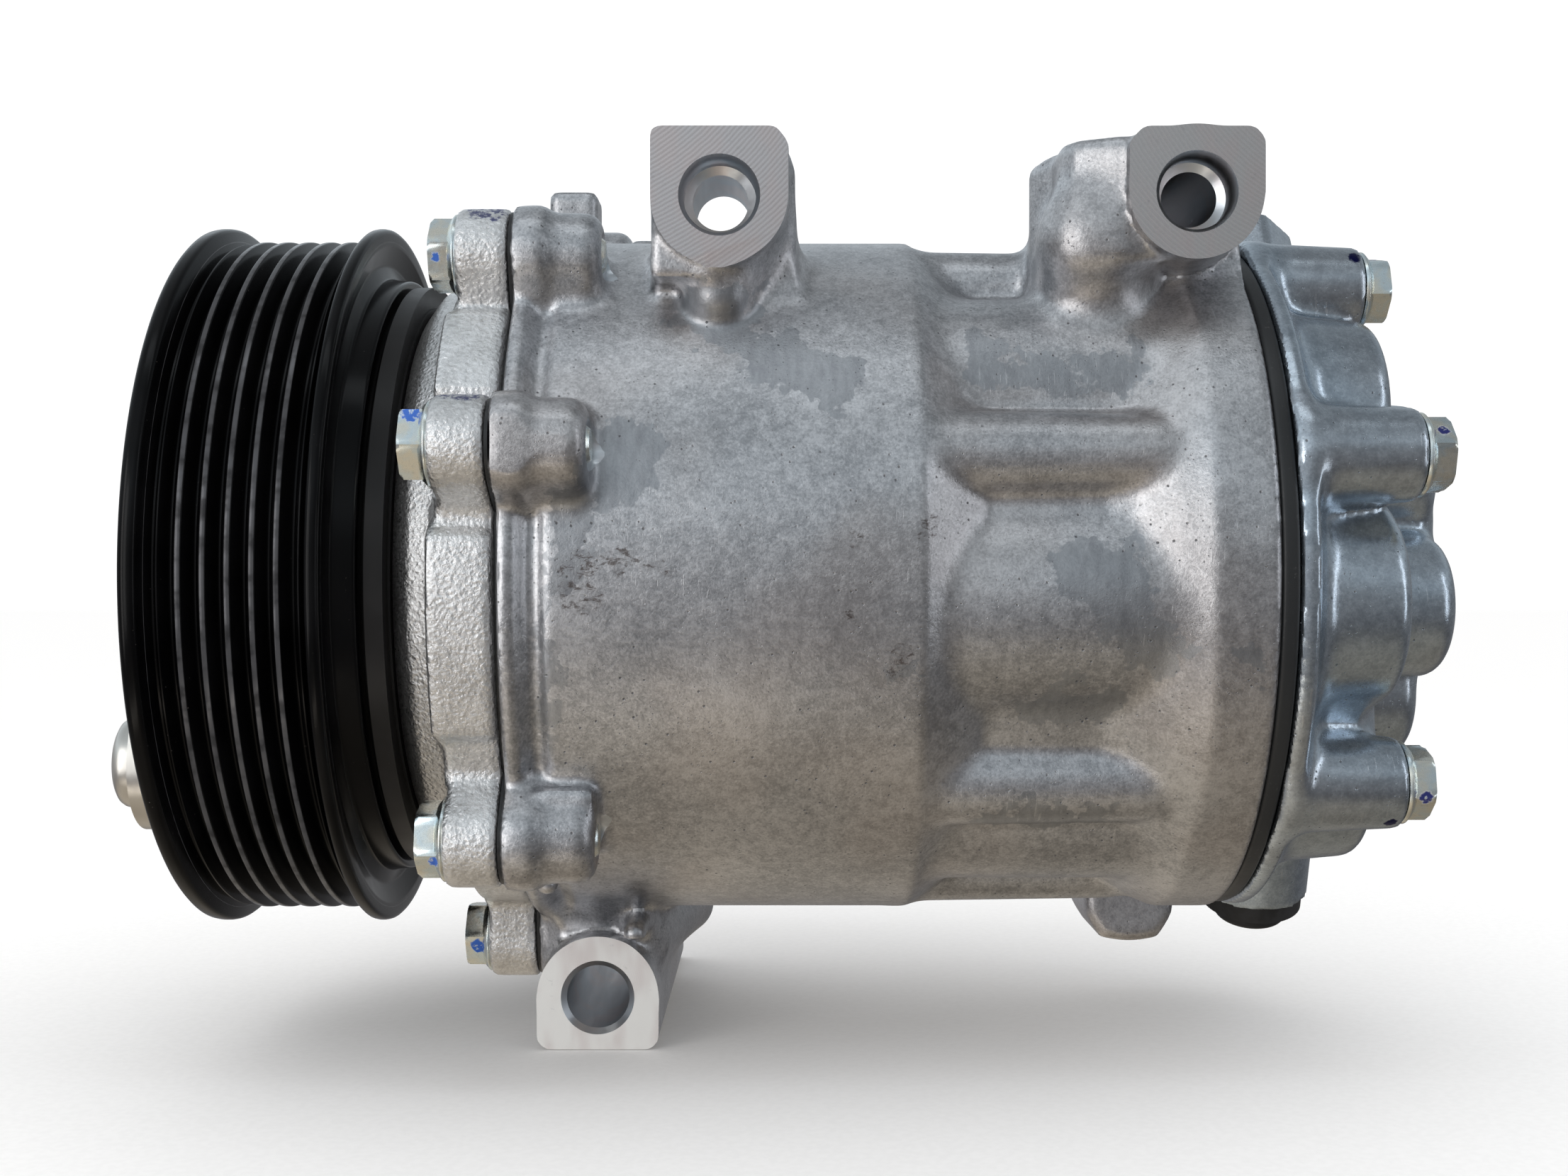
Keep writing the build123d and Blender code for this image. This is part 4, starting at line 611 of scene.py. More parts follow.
def coated_black(name, base, rough0, gloss, crest=None):
    """Semi-gloss black paint with dust; crest is the radius of the rib crests, where a thin band of painted
    highlight makes the paint lighter and partly metallic.
    """
    m = Nodes(name, Metallic=0.0, IOR=1.5, Specular_IOR_Level=gloss)
    orange = m.noise(1.1, 3, 0.55)
    dust = m.times(m.ramp(m.noise(0.42, 3, 0.6), 0.70, 0.76), m.ramp(m.noise(6, 2), 0.50, 0.62))
    tone = m.ramp(m.noise(14, 3), 0.35, 0.7)
    colour = m.mix(tone, base, tuple(c * 1.7 + 0.001 for c in base))
    colour = m.mix(m.times(dust, 0.4), colour, (0.24, 0.22, 0.20))
    rough = m.fma(m.noise(5, 4, 0.6), 0.14, rough0 - 0.07)
    if crest:
        radius = m.vector("LENGTH", m.vector("MULTIPLY", m.mm, (0, 1, 1)))
        # painted highlight: a thin band at the rib crests' radius, broken up by noise, is made lighter and
        # partly metallic so the crests show bright lines
        crest_highlight = m.times(m.ramp(radius, crest - 0.05, crest), m.ramp(radius, crest + 0.10, crest + 0.05))
        crest_highlight = m.times(crest_highlight, m.ramp(m.noise(3.5, 3, 0.6), 0.34, 0.62, 0.25, 1.0))
        m.put(m.shader.inputs["Metallic"], m.times(crest_highlight, 0.6))
        colour = m.mix(crest_highlight, colour, (0.085, 0.085, 0.09))
    return m.finish(colour, rough, None, m.bump(orange, 0.10, 0.05))


def steel(name, tint, rough0, axis=0, streak=0.08):
    """Turned or ground steel with fine marks round the part."""
    m = Nodes(name, Metallic=1.0)
    scale = [streak, streak, streak]
    scale[axis] = 2.0
    marks = m.noise(0.6, 3, 0.6, at=m.stretched(tuple(scale)))
    cloud = m.noise(5, 3)
    colour = m.mix(m.ramp(cloud, 0.35, 0.65), tuple(c * 0.93 for c in tint), tint)
    rough = m.fma(marks, 0.16, rough0 - 0.06)
    return m.finish(colour, rough, None, m.bump(marks, 0.22, 0.03))


def rubber(name):
    m = Nodes(name, Metallic=0.0, IOR=1.5)
    grain = m.noise(0.3, 3, 0.6)
    dust = m.times(m.ramp(m.noise(0.7, 4, 0.7), 0.62, 0.72), 0.35)
    colour = m.mix(dust, (0.010, 0.011, 0.012), (0.10, 0.10, 0.10))
    return m.finish(colour, m.fma(m.noise(3, 3), 0.2, 0.30), None, m.bump(grain, 0.25, 0.04))


def plastic(name, base):
    m = Nodes(name, Metallic=0.0, IOR=1.46)
    grain = m.cells(0.35, "SMOOTH_F1")
    colour = m.mix(m.ramp(m.noise(4, 3), 0.4, 0.65), base, tuple(c * 1.5 + 0.004 for c in base))
    return m.finish(colour, m.fma(m.noise(2, 3), 0.16, 0.36), None, m.bump(grain, 0.25, 0.04))


# (centre, (half length along X, half height along Z), tilt) of each stain and smudge
STAINS = (
    ((75, -46, 34.5), (12, 4.2), 24), ((86.5, -49.5, 28.5), (5.4, 4.4), 10),
    ((70, -40, 41), (6.5, 3), 0), ((55.5, -54.5, 15.5), (5.6, 7.4), -12), ((49.5, -56, 4), (3.6, 9), 14),
    ((46, -57, -14), (1.4, 14), 0), ((118, -46, 30), (8, 3.2), 8), ((131, -45.5, 31), (5.6, 3), -14),
    ((111, -50, 33), (3, 4), 0), ((127.5, -54, -1), (7.5, 6.4), 28), ((133, -53, -10), (6, 5.2), 0),
    ((122, -52, -19.5), (9, 3.4), 0), ((97, -55.5, -14), (2.6, 1.4), 0),
    ((148.5, -54, -12), (2.4, 3.6), 0), ((120, -42, -38), (9, 3), -8), ((62, 40, 40), (16, 7), 30),
    ((92, 50, -20), (9, 13), 20), ((108, 20, -52), (9, 9), 0),
)
SMUDGES = (
    ((53.5, -56.5, 1.5), (5.6, 1.9), -6), ((51, -56.5, -3.5), (3.4, 2.2), 0),
    ((61, -56.5, 1), (3.6, 0.9), 10), ((90.5, -57, 4.6), (1.9, 1), -20), ((90, -57, -6), (1, 0.9), 0),
    ((97, -56.5, -13), (1.6, 2.4), 20), ((101, -56, 6), (1.2, 2.2), 0), ((90, 54, 14), (6, 3), 0),
)
HEAD_INK = (((173, -22.6, 51.2), 1.35), ((172.4, -42.6, -38.2), 1.2), ((173, 43, 31), 1.2))
RIM_INK = (((34.5, -39, 55.4), (3.2, 1.5), 4), ((34, -60, 25), (3.8, 0.8), 0), ((34, 46, -42), (3, 2), 0))
M_BODY = cast_aluminium("body_casting_skin", (0.72, 0.72, 0.735), (0.34, 0.345, 0.36), 0.35, 0.36, STAINS,
                        SMUDGES)
M_HEAD = cast_aluminium("head_casting_skin", (0.62, 0.70, 0.775), (0.37, 0.43, 0.49), 0.26, 0.10,
                        dabs=HEAD_INK)
M_FRONT = rough_cast("front_casting_skin", RIM_INK)
M_EYE_FRONT = machined("milled_face_front", (0.66, 0.63, 0.63), (40, -47, 96), 0.62)
M_EYE_REAR = machined("milled_face_rear", (0.66, 0.64, 0.63), (168, -47, 84), 0.62)
M_EYE_LOW = machined("milled_face_low", (0.95, 0.94, 0.91), (20, -17, -60), 0.3, rough0=0.40, metal=0.55)
M_BORE = machined("drilled_bore", (0.60, 0.63, 0.66), None, turn=0)
M_BLACK = coated_black("pulley_black", (0.0008, 0.0008, 0.0010), 0.19, 0.14, 57.2)
M_PLATE_BLACK = coated_black("hub_plate_black", (0.008, 0.0075, 0.0075), 0.36, 0.25)
M_ZINC_FRONT = plated("front_screw_zinc", [
    ((27, -41, 48.3), 1), ((27.6, -61.6, 22.2), 1.5), ((28.9, -50.8, -42.6), 1.2),
    ((28, -7.2, -63.6), 1.5), ((28, 24, 62), 1.4), ((28, 63, 20), 1.4),
    ((28, 53, -34), 1.4)], (0.02, 0.10, 0.42))
M_ZINC_REAR = plated("rear_screw_zinc", [((177.6, *at(55, a + 2)), 1.2) for r, a in REAR_SCREWS],
                     (0.004, 0.008, 0.10))
M_SATIN = steel("satin_steel_turned", (0.66, 0.64, 0.60), 0.30)
M_GROUND = steel("ground_steel", (0.62, 0.62, 0.63), 0.16)
M_SPRING = steel("spring_steel_dark", (0.22, 0.21, 0.21), 0.34)
M_COPPER = steel("copper_winding", (0.62, 0.27, 0.12), 0.34, 0, 0.02)
M_BRONZE = steel("bronze_turned", (0.62, 0.44, 0.24), 0.30)
M_BRASS = steel("brass_turned", (0.74, 0.56, 0.28), 0.28)
M_INNER = steel("aluminium_turned", (0.72, 0.72, 0.73), 0.28)
M_RUBBER = rubber("black_rubber")
M_PTFE = plastic("filled_ptfe", (0.16, 0.11, 0.07))
M_PLASTIC = plastic("black_nylon", (0.008, 0.008, 0.009))
BY_SLOT = {
    "cast_body": M_BODY, "cast_front": M_FRONT, "cast_head": M_HEAD, "black_steel": M_PLATE_BLACK,
    "zinc_steel": M_ZINC_FRONT, "satin_steel": M_SATIN, "ground_steel": M_GROUND, "spring_steel": M_SPRING,
    "inner_aluminium": M_INNER, "bronze": M_BRONZE, "brass": M_BRASS, "copper_coil": M_COPPER,
    "black_rubber": M_RUBBER, "ptfe": M_PTFE, "black_plastic": M_PLASTIC, "valve_steel": M_SATIN,
}


# ---------------------------------------------------------------- body casting
VOXEL = 0.62


def body_casting():
    f = Field((BODY_FRONT, -62, -80), (DECK, 63, 69), VOXEL)
    f.add(turned([
        (BODY_FRONT, 0), (BODY_FRONT, 58.3), (41.0, 58.3), (42.1, 57.2), (43.2, 56.0), (44.6, 55.9),
        (45.6, BODY_R), (BLOCK_STEP, BODY_R), (110.6, VALLEY_R), (128, VALLEY_R), (132, 51.7),
        (138, 54.9), (RING_FRONT, BODY_R), (DECK, BODY_R), (DECK, 0),
    ]))
    for spot in BORE_SPOTS:
        f.add(cylinder_x(spot, 18.5, 99, 141), 1.3)
    for radius, angle in REAR_SCREWS + [LOW_RIB]:
        f.add(rod((99, *at(radius - 0.4, angle)), (135, *at(radius - 0.4, angle)), 6.8, 6.3), 1.8)
    for spot in FRONT_SCREWS:
        f.add(pear_x(spot, 7.5, 9, 11, BODY_FRONT - 1, FLANGE_REAR, 0.6), 1.2)
        f.add(pear_x((spot[0] - 0.4, spot[1]), 6.9, 8.0, 11, BODY_FRONT, BOSS_REAR, 2.8), 2.6)
    f.add(box((BODY_FRONT + 0.4, 0, 50), (47.6, 10, 67.3), 1.2), 1.6)
    # squared corner over the third front boss, and the small pips beside the lower eye
    f.add(box((43.4, -50.6, -41), (52.3, -38, -31.9), 1.0), 0.8)
    f.add(rod((42.9, -31.0, -49.2), (42.9, -25.0, -46.0), 1.7, 1.9), 0.8)
    f.add(rod((56.0, -23.0, -58.4), (56.0, -12.0, -58.4), 1.9, 1.9), 1.0)
    # front upper eye: square block, strip down its left side, round neck and the web behind it
    x, z = FRONT_EAR
    f.add(cylinder_y((x, z), 10.3, EAR_FACE_Y - 2, -27), 0)
    f.add(prism(1, [(60.3, z), (60.3, 66.0), (61.1, 66.8), (79.0, 66.8), (80.9, 64.4), (80.9, z)],
                EAR_FACE_Y - 2, -26, 0.3), 0)
    f.add(prism(1, [(60.3, 44.2), (60.3, 66.8), (79.2, 66.8), (80.9, 64.6), (80.9, 56), (69, 44.2)],
                EAR_FACE_Y + 0.5, -26, 0.4), 0.5)
    f.add(rod((70.9, -39.5, 52), (70.4, -40.5, 42.5), 8.2, 5.4), 2.2)
    f.add(rod((73.5, -33.0, 50), (75.5, -33.0, 42.0), 8.0, 6.0), 4.0)
    f.add(prism(1, [(60.6, 42), (60.6, 65.9), (78.9, 65.9), (81.7, 62.4), (81.9, 50), (83, 42)], -38, -26.6,
                0.8), 2.4)
    f.add(prism(1, [(60.6, 40), (60.6, 49.6), (82, 49.6), (83.5, 40)], -31, -10, 0.8), 5.0)
    # rear upper eye on its cross beam
    x, z = REAR_EAR
    f.add(prism(2, [(DECK, -32), (137, -32), (121.2, -30), (119.6, -27), (123.2, 0), (129.3, 46),
                    (DECK, 46)], 44, 65.4, 1.6), 3.4)
    f.add(prism(2, [(139, -30), (139, -44.2), (131, -44.8), (124.4, -41.6), (122.7, -38.6), (122.7, -28)],
                47, 66.2, 1.8), 3.4)
    f.add(rod((127, -37, 51), (129, -33, 44), 7.5, 8), 5.0)
    f.add(cylinder_y((x, z), 10.1, EAR_FACE_Y - 2, -25), 0)
    f.add(prism(1, [(132, 57), (132, 64.6), (134.2, 66.8), (DECK - 1.6, 66.8), (DECK, 65), (DECK, 57)],
                EAR_FACE_Y - 2, -25, 0.3), 0.6)
    # far-side pad on top of the waist, seen past the front eye
    f.add(box((52, 8, 48), (58.5, 24, 60.4), 2.0), 2.5)
    # lower eye on its long beam
    x, z = LOW_EAR
    f.add(prism(0, [(-14, -69), (-12.5, -60), (-17, -50), (30, -42), (50, -22), (58.6, -64), (58.6, -70)],
                42.2, 57.6, 1.2), 4.0)
    f.add(cylinder_y((x, z), 10.1, LOW_EAR_Y - 2, LOW_EAR_BACK), 1.2)
    f.add(prism(1, [(39.3, -70), (39.3, -77.4), (40.7, -78.8), (58.1, -78.8), (59.5, -77.4), (59.5, -70)],
                LOW_EAR_Y - 2, LOW_EAR_BACK, 0.3), 0.4)
    f.add(rod((56, -6, -62), (60.5, 40, -64), 5, 6), 4.0)
    # small lower eye at the rear
    x, z = LUG_EAR
    f.add(cylinder_y((x, z), 7.6, 16, 36, 1.2), 1.0)
    f.add(prism(1, [(136.2, -50), (136.2, -62), (138.6, -66.6), (149, -66.6), (151.4, -62), (151.4, -50)],
                16, 36, 1.4), 2.4)
    f.cut(box((30, -90, -95), (70, 90, LOW_EAR_FOOT)))
    f.soften(1)
    f.cut(turned([(30, 0), (30, CAVITY_R), (98, CAVITY_R), (98, 0)]))
    f.cut(box((BODY_FRONT - 8, -90, -90), (BODY_FRONT, 90, 90)))
    f.cut(box((DECK, -90, -90), (DECK + 8, 90, 90)))
    obj = f.mesh("body_casting")
    obj.data.materials.append(M_BODY)
    tools = []
    for (x, z), face, depth, rough in ((FRONT_EAR, (59, 82, 45.6, 70), 24, M_EYE_FRONT),
                                       (REAR_EAR, (131, 155, 44, 70), 40, M_EYE_REAR)):
        tools.append(block((face[0], -60, face[2]), (face[1], EAR_FACE_Y, face[3]), rough))
        tools.append(drill([(-5, 0), (-5, 7.4), (0, 6.15), (1.1, 5.5), (5.4, 5.5), (6.2, 4.25),
                            (depth, 4.25), (depth, 0)], facing((x, EAR_FACE_Y, z), (0, 1, 0)), M_BORE))
    x, z = LOW_EAR
    tools.append(block((37, -30, -82), (62, LOW_EAR_Y, -59), M_EYE_LOW))
    tools.append(drill([(-5, 0), (-5, 11), (0, 6.1), (0.9, 5.2), (76.1, 5.2), (77, 6.1), (82, 11), (82, 0)],
                       facing((x, LOW_EAR_Y, z), (0, 1, 0)), M_BORE))
    tools.append(drill([(-5, 0), (-5, 9.25), (0, 4.9), (0.7, 4.25), (16, 4.25), (16, 0)],
                       facing((LUG_EAR[0], 36, LUG_EAR[1]), (0, -1, 0)), M_BORE))
    for spot in FRONT_SCREWS[:3] + FRONT_SCREWS[4:]:
        tools.append(drill([(-6, 0), (-6, 3.15), (12.8, 3.15), (13.6, 3.9), (20, 3.9), (20, 0)],
                           along_x(BODY_FRONT, spot), M_BORE, 32))
    tools.append(drill([(-6, 0), (-6, 3.15), (4.6, 3.15), (4.6, 0)], along_x(BODY_FRONT, FRONT_SCREWS[3]),
                       M_BORE, 32))
    for spot in BORE_SPOTS:
        tools.append(drill([(-12, 0), (-12, 14.65), (50, 14.65), (50, 0)], along_x(108, spot), M_BORE, 64))
    tools.append(drill([(-10, 0), (-10, 12.6), (60, 12.6), (60, 0)], along_x(100), M_BORE, 64))
    for spot in REAR_SCREWS:
        tools.append(drill([(0, 0), (0, 3.1), (40, 3.1), (40, 0)], along_x(DECK - 34, spot), M_BORE, 24))
    for t in tools:
        carve(obj, [t])
    smooth(obj)
    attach(obj, "compressor")
    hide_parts("cylinder_housing")


def front_casting():
    f = Field((-8.2, -71, -71), (JOINT, 71, 71), VOXEL)
    f.add(turned([
        (-7.8, 14.6), (-7.8, 17.1), (-7.4, 17.5), (14.2, 17.5), (14.2, 24), (21.2, 24), (21.2, 45),
        (24.2, 49), (28.7, 50.5), (29.6, 51.5), (29.6, 56.2), (JOINT, 56.2), (JOINT, 48.5), (29, 48.5),
        (27, 46), (27, 14), (13, 14), (13, 14.6),
    ]))
    for first, last in PAD_SPANS:
        middle, half = math.radians((first + last) / 2), math.radians((last - first) / 2)

        def pad(x, y, z, middle=middle, half=half):
            angle = np.arctan2(z, -y) - middle
            angle = np.abs((angle + math.pi) % (2 * math.pi) - math.pi)
            r = np.hypot(y, z)
            flat = np.maximum(np.maximum(r - 57.6, 49 - r), (angle - half) * 48 + (r - 56) * 0.8)
            return extruded(flat, x, 28.4, JOINT - 0.3)
        f.add(((28.4, -58, -58), (JOINT, 58, 58), pad), 0.6)
    for spot in FRONT_SCREWS:
        f.add(pear_x(spot, 7.2, 9, 11, 30.2, JOINT, 0.5), 1.8)
        f.add(cylinder_x(spot, 6.9, 29.9, 36, 0.3), 0.3)
    f.soften(1)
    f.cut(turned([(29.2, 0), (29.2, 48.5), (JOINT + 6, 48.5), (JOINT + 6, 0)]))
    f.cut(box((JOINT, -90, -90), (JOINT + 8, 90, 90)))
    obj = f.mesh("front_casting")
    obj.data.materials.append(M_FRONT)
    tools = []
    for spot in FRONT_SCREWS:
        tools.append(drill([(-4, 0), (-4, 8), (0, 8), (0, 3.1), (12, 3.1), (12, 0)],
                           along_x(FRONT_SEAT, spot), M_BORE, 40))
    for t in tools:
        carve(obj, [t])
    smooth(obj)
    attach(obj, "compressor")
    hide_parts("front_housing")


def head_casting():
    f = Field((HEAD_FRONT, -60, -66), (HEAD_TOP, 66, 66), VOXEL)
    f.add(turned([
        (HEAD_FRONT, 0), (HEAD_FRONT, 56.6), (157.9, 56.6), (158.6, 54.6), (160.4, 49), (163, 45.2),
        (169.5, 43), (172.6, 38), (HEAD_LOBE_REAR, 31), (HEAD_LOBE_REAR, 0),
    ]))
    for radius, angle in BORE_SPOTS:
        f.add(drafted_x((35.6, angle), 17.2, 15.6, 156, HEAD_LOBE_REAR, 2.6), 3.4)
    for spot in REAR_SCREWS:
        f.add(drafted_x(spot, 7.9, 7.0, 156, HEAD_BOSS_REAR, 0.8), 3.4)
    for i in range(PETALS):
        f.add(drafted_x((20.0, 360 / PETALS * i - 15), 12.8, 11.4, 168, HEAD_TOP, 3.4), 2.8)
    f.add(drafted_x((0, 0), 20, 18, 168, HEAD_TOP, 2.6), 5.0)
    nx = Vector((0, *at(1, PORT_ANGLE)))
    side = Vector((1, 0, 0)).cross(nx)

    def port(x, y, z):
        along = y * nx.y + z * nx.z
        across = y * side.y + z * side.z
        flat = polygon(x - PORT_X, across, [(-6.7, -21), (6.7, -21), (6.7, 14.4), (1.6, 19.5),
                                            (-6.7, 19.5)]) - 2
        return extruded(flat, along, 38, PORT_FACE_R, 0.6)
    f.add(((157, -20, 10), (175.2, 66, 66), port), 3.4)
    y, z = at(VALVE_TIP_R - 6, VALVE_ANGLE)
    y2, z2 = at(34, VALVE_ANGLE)
    f.add(rod((VALVE_X, y, z), (VALVE_X, y2, z2), 9.9, 9.9), 3.0)
    f.add(cylinder_y(RELIEF, 9.0, 34, 52, 0.6), 3.0)
    f.soften(1)
    f.cut(turned([(150, 0), (150, 53.4), (158, 53.4), (158, 33), (160.2, 33), (160.2, 18), (183.7, 18),
                  (183.7, 0)]))
    f.cut(turned([(157, 36.5), (157, 41), (169.7, 41), (169.7, 36.5)]))
    f.cut(box((150, -90, -90), (HEAD_FRONT, 90, 90)))
    vy, vz = at(1, VALVE_ANGLE)

    def barrel_end(x, y, z):
        return np.maximum((VALVE_TIP_R - 6) - (y * vy + z * vz),
                          np.hypot(x - VALVE_X, y * vz - z * vy) - 12) + 0 * x
    f.cut(((155, y - 14, z - 14), (180, y + 14, z + 14), barrel_end))
    obj = f.mesh("head_casting")
    obj.data.materials.append(M_HEAD)
    tools = []
    for spot in REAR_SCREWS:
        seat = HEAD_BOSS_REAR - HEAD_FLOOR
        tools.append(drill([(-5, 0), (-5, 3.1), (seat, 3.1), (seat, 6.4), (seat + 4, 6.4), (seat + 4, 0)],
                           along_x(HEAD_FLOOR, spot), M_BORE, 40))
    for off, r, depth in ((-13, 7.0, 24), (13, 5.5, 24), (0, 3.4, 9.5)):
        p = nx * (PORT_FACE_R + 4) + side * off + Vector((PORT_X, 0, 0))
        chamfer = 0.8
        outline = [(0, 0), (0, r + 4.0 + chamfer), (4, r + chamfer), (4 + chamfer, r), (4 + depth, r),
                   (4 + depth, 0)]
        tools.append(drill(outline, facing(p, -nx), M_BORE, 56))
    p = Vector((VALVE_X, *at(VALVE_TIP_R - 6, VALVE_ANGLE)))
    inward = Vector((0, -vy, -vz))
    tools.append(drill([(-3, 0), (-3, 7.5), (26, 7.5), (26, 0)], facing(p, inward), M_BORE, 56))
    relief = facing((RELIEF[0], 52, RELIEF[1]), (0, -1, 0))
    tools.append(drill([(-3, 0), (-3, 5.0), (12, 5.0), (12, 0)], relief, M_BORE, 40))
    for t in tools:
        carve(obj, [t])
    smooth(obj)
    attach(obj, "compressor")
    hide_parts("rear_head")


# ---------------------------------------------------------------- pulley
def pulley_wheel():
    ribs, pitch, crest, depth = 6, 3.56, 57.2, 2.9
    start = -ribs * pitch / 2
    outline = [(-15.2, 51.4, 0.4), (-15.2, 59.4, 1.1), (-12.7, 59.4, 0.9), (start - 0.55, crest - 2.3, 0.5)]
    for i in range(ribs):
        left = start + i * pitch
        right = left + pitch
        outline += [(left + 0.46, crest, 0.32), (left + 1.5, crest - depth, 0.4),
                    (right - 1.5, crest - depth, 0.4), (right - 0.46, crest, 0.32)]
    outline += [(-start + 0.55, crest - 2.3, 0.5),
                (11.6, 59.4, 0.8), (13.6, 59.4, 0.9), (13.6, 56.6, 0.8), (12.4, 53.2, 0.9),
                (13.4, 50.9, 0.6), (17.0, 50.6, 0.6), (17.0, 46.8, 0.5), (-3.45, 46.8, 0.8),
                (-3.45, 31.3, 0.8), (14, 31.3, 0.4), (14, 27.5, 0.3), (-6, 27.5, 0.05), (-6, 26, 0.05),
                (-8.45, 26, 0.3), (-8.45, 51.4, 0.8)]
    obj = lathe("pulley_wheel", rounded(outline, 0.4, 3), 320)
    obj.data.materials.append(M_BLACK)
    tools = []
    slots, slot_reach = 6, 44
    for radius in (34.5, 43.0):
        for i in range(slots):
            a0, a1 = math.radians(360 / slots * i), math.radians(360 / slots * i + slot_reach)
            points, faces = [], []
            steps = 22
            for k in range(steps + 1):
                a = a0 + (a1 - a0) * k / steps
                for x in (-12, -1):
                    for r in (radius - 1, radius + 1):
                        points.append((x, r * math.cos(a), r * math.sin(a)))
            for k in range(steps):
                b, n = 4 * k, 4 * k + 4
                faces += [(b, b + 1, n + 1, n), (b + 1, b + 3, n + 3, n + 1), (b + 3, b + 2, n + 2, n + 3),
                          (b + 2, b, n, n + 2)]
            faces += [(0, 2, 3, 1), (4 * steps, 4 * steps + 1, 4 * steps + 3, 4 * steps + 2)]
            t = mesh_object("cutter", points, faces)
            merge(t)
            t.data.materials.append(M_BLACK)
            tools.append(t)
    carve(obj, tools)
    smooth(obj, 38)
    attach(obj, "pulley")
    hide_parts("pulley")


# ---------------------------------------------------------------- screws
def hex_screw(spot, seat, towards, length, turn, tip=0.8):
    """A flanged hex screw with a chamfered head, a dished top and rolled thread on its shank."""
    place = facing((seat, *at(*spot)), (towards, 0, 0))
    place = place @ Matrix.Rotation(math.radians(turn), 4, "X")
    parts, thread, x = [], [], 0.2
    while x < length - tip - 1:
        thread += [(x, 2.95), (x + 0.5, 2.55)]
        x += 1.0
    shank = [(0, 0), (-0.05, 0), (-0.05, 3.0)] + thread + [(length - tip, 2.95), (length, 2.3), (length, 0)]
    parts.append(lathe("part", shank, 28, place))
    flange = rounded([(0, 0, 0), (0, 6.25, 0.1), (-0.55, 6.4, 0.3), (-1.45, 5.4, 0.4), (-1.45, 0, 0)], 0.3, 3)
    parts.append(lathe("part", flange, 56, place))
    points, faces = [], []
    rows = [(-1.1, 5.77), (-3.9, 5.77), (-4.4, 5.30)]
    sides, flats, top_r = 72, 5.0, 4.75
    for x, corner in rows:
        for k in range(sides):
            a = 2 * math.pi * k / sides
            fold = (a % (math.pi / 3)) - math.pi / 6
            flat = flats / math.cos(fold)
            points.append((x, min(flat, corner) * math.cos(a), min(flat, corner) * math.sin(a)))
    for x, r in ((-4.42, top_r), (-4.15, 3.4), (-4.05, 1.6)):
        for k in range(sides):
            a = 2 * math.pi * k / sides
            points.append((x, r * math.cos(a), r * math.sin(a)))
    for row in range(5):
        for k in range(sides):
            n = (k + 1) % sides
            faces.append((row * sides + k, row * sides + n, (row + 1) * sides + n, (row + 1) * sides + k))
    faces.append(tuple(range(5 * sides, 6 * sides)))
    faces.append(tuple(reversed(range(sides))))
    head = mesh_object("part", [tuple(place @ Vector(p)) for p in points], faces)
    merge(head)
    parts.append(head)
    return parts


def screws():
    turns = (4, 19, 33, 11, 47, 25, 52)
    parts = []
    for i, spot in enumerate(FRONT_SCREWS):
        parts += hex_screw(spot, FRONT_SEAT, 1, 12.4 if i == 3 else 22.4, turns[i])
    front = join("front_screw_set", parts)
    front.data.materials.append(M_ZINC_FRONT)
    parts = []
    for i, spot in enumerate(REAR_SCREWS):
        parts += hex_screw(spot, HEAD_BOSS_REAR, -1, 52, turns[-1 - i] + 7)
    rear = join("rear_screw_set", parts)
    rear.data.materials.append(M_ZINC_REAR)
    for obj, node in ((front, "front_screws"), (rear, "rear_screws")):
        smooth(obj, 28)
        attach(obj, "compressor")
        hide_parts(node)


def cups():
    """Pressed damper cups, with the rubber's lip showing under each rim."""
    parts = []
    for spot in CUPS:
        outline = rounded([(-24.0, 0, 0), (-24.0, 7.0, 1.9), (-20.1, 7.3, 0.3), (-20.1, 6.4, 0),
                           (-23.0, 6.3, 1.0), (-23.1, 3.2, 0.3), (-23.1, 0, 0)], 0.3, 4)
        parts.append(lathe("part", outline, 64, along_x(0, spot)))
    obj = join("damper_cup_set", parts)
    obj.data.materials.append(M_SATIN)
    smooth(obj, 35)
    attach(obj, "shaft")
    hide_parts("damper_cups")


def seal():
    outline = rounded([(DECK + 0.02, 53.8, 0.3), (DECK + 0.02, 56.3, 0.9), (HEAD_FRONT - 0.02, 56.3, 0.9),
                       (HEAD_FRONT - 0.02, 53.8, 0.3)], 0.5, 5)
    obj = lathe("rear_seal_bead", outline, 256)
    obj.data.materials.append(M_RUBBER)
    smooth(obj, 50)
    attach(obj, "compressor")
    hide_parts("rear_seal_ring")


slot_of = {r["node"]: r["material_slot"] for r in frame["record"]["subparts"]}
for node, obj in NODES.items():
    obj.data.materials.clear()
    obj.data.materials.append(BY_SLOT[slot_of[node]])

body_casting()
front_casting()
head_casting()
pulley_wheel()
screws()
cups()
seal()

# ---------------------------------------------------------------- floor, light and camera
scene = bpy.context.scene
FLOOR_Z, FLOOR_R = LOW_EAR_FOOT - 0.1, 6000
corners = [(-1, -1), (1, -1), (1, 1), (-1, 1)]
floor = mesh_object("floor", [(FLOOR_R * x, FLOOR_R * y, FLOOR_Z) for x, y in corners], [(0, 1, 2, 3)])
paper = Nodes("floor_paper", Roughness=0.9)
tooth = paper.noise(1.2, 3)
white = paper.mix(paper.ramp(tooth, 0.3, 0.7), (0.93, 0.925, 0.92), (0.96, 0.955, 0.95))
floor.data.materials.append(paper.finish(white, None, None, paper.bump(tooth, 0.1, 0.05)))

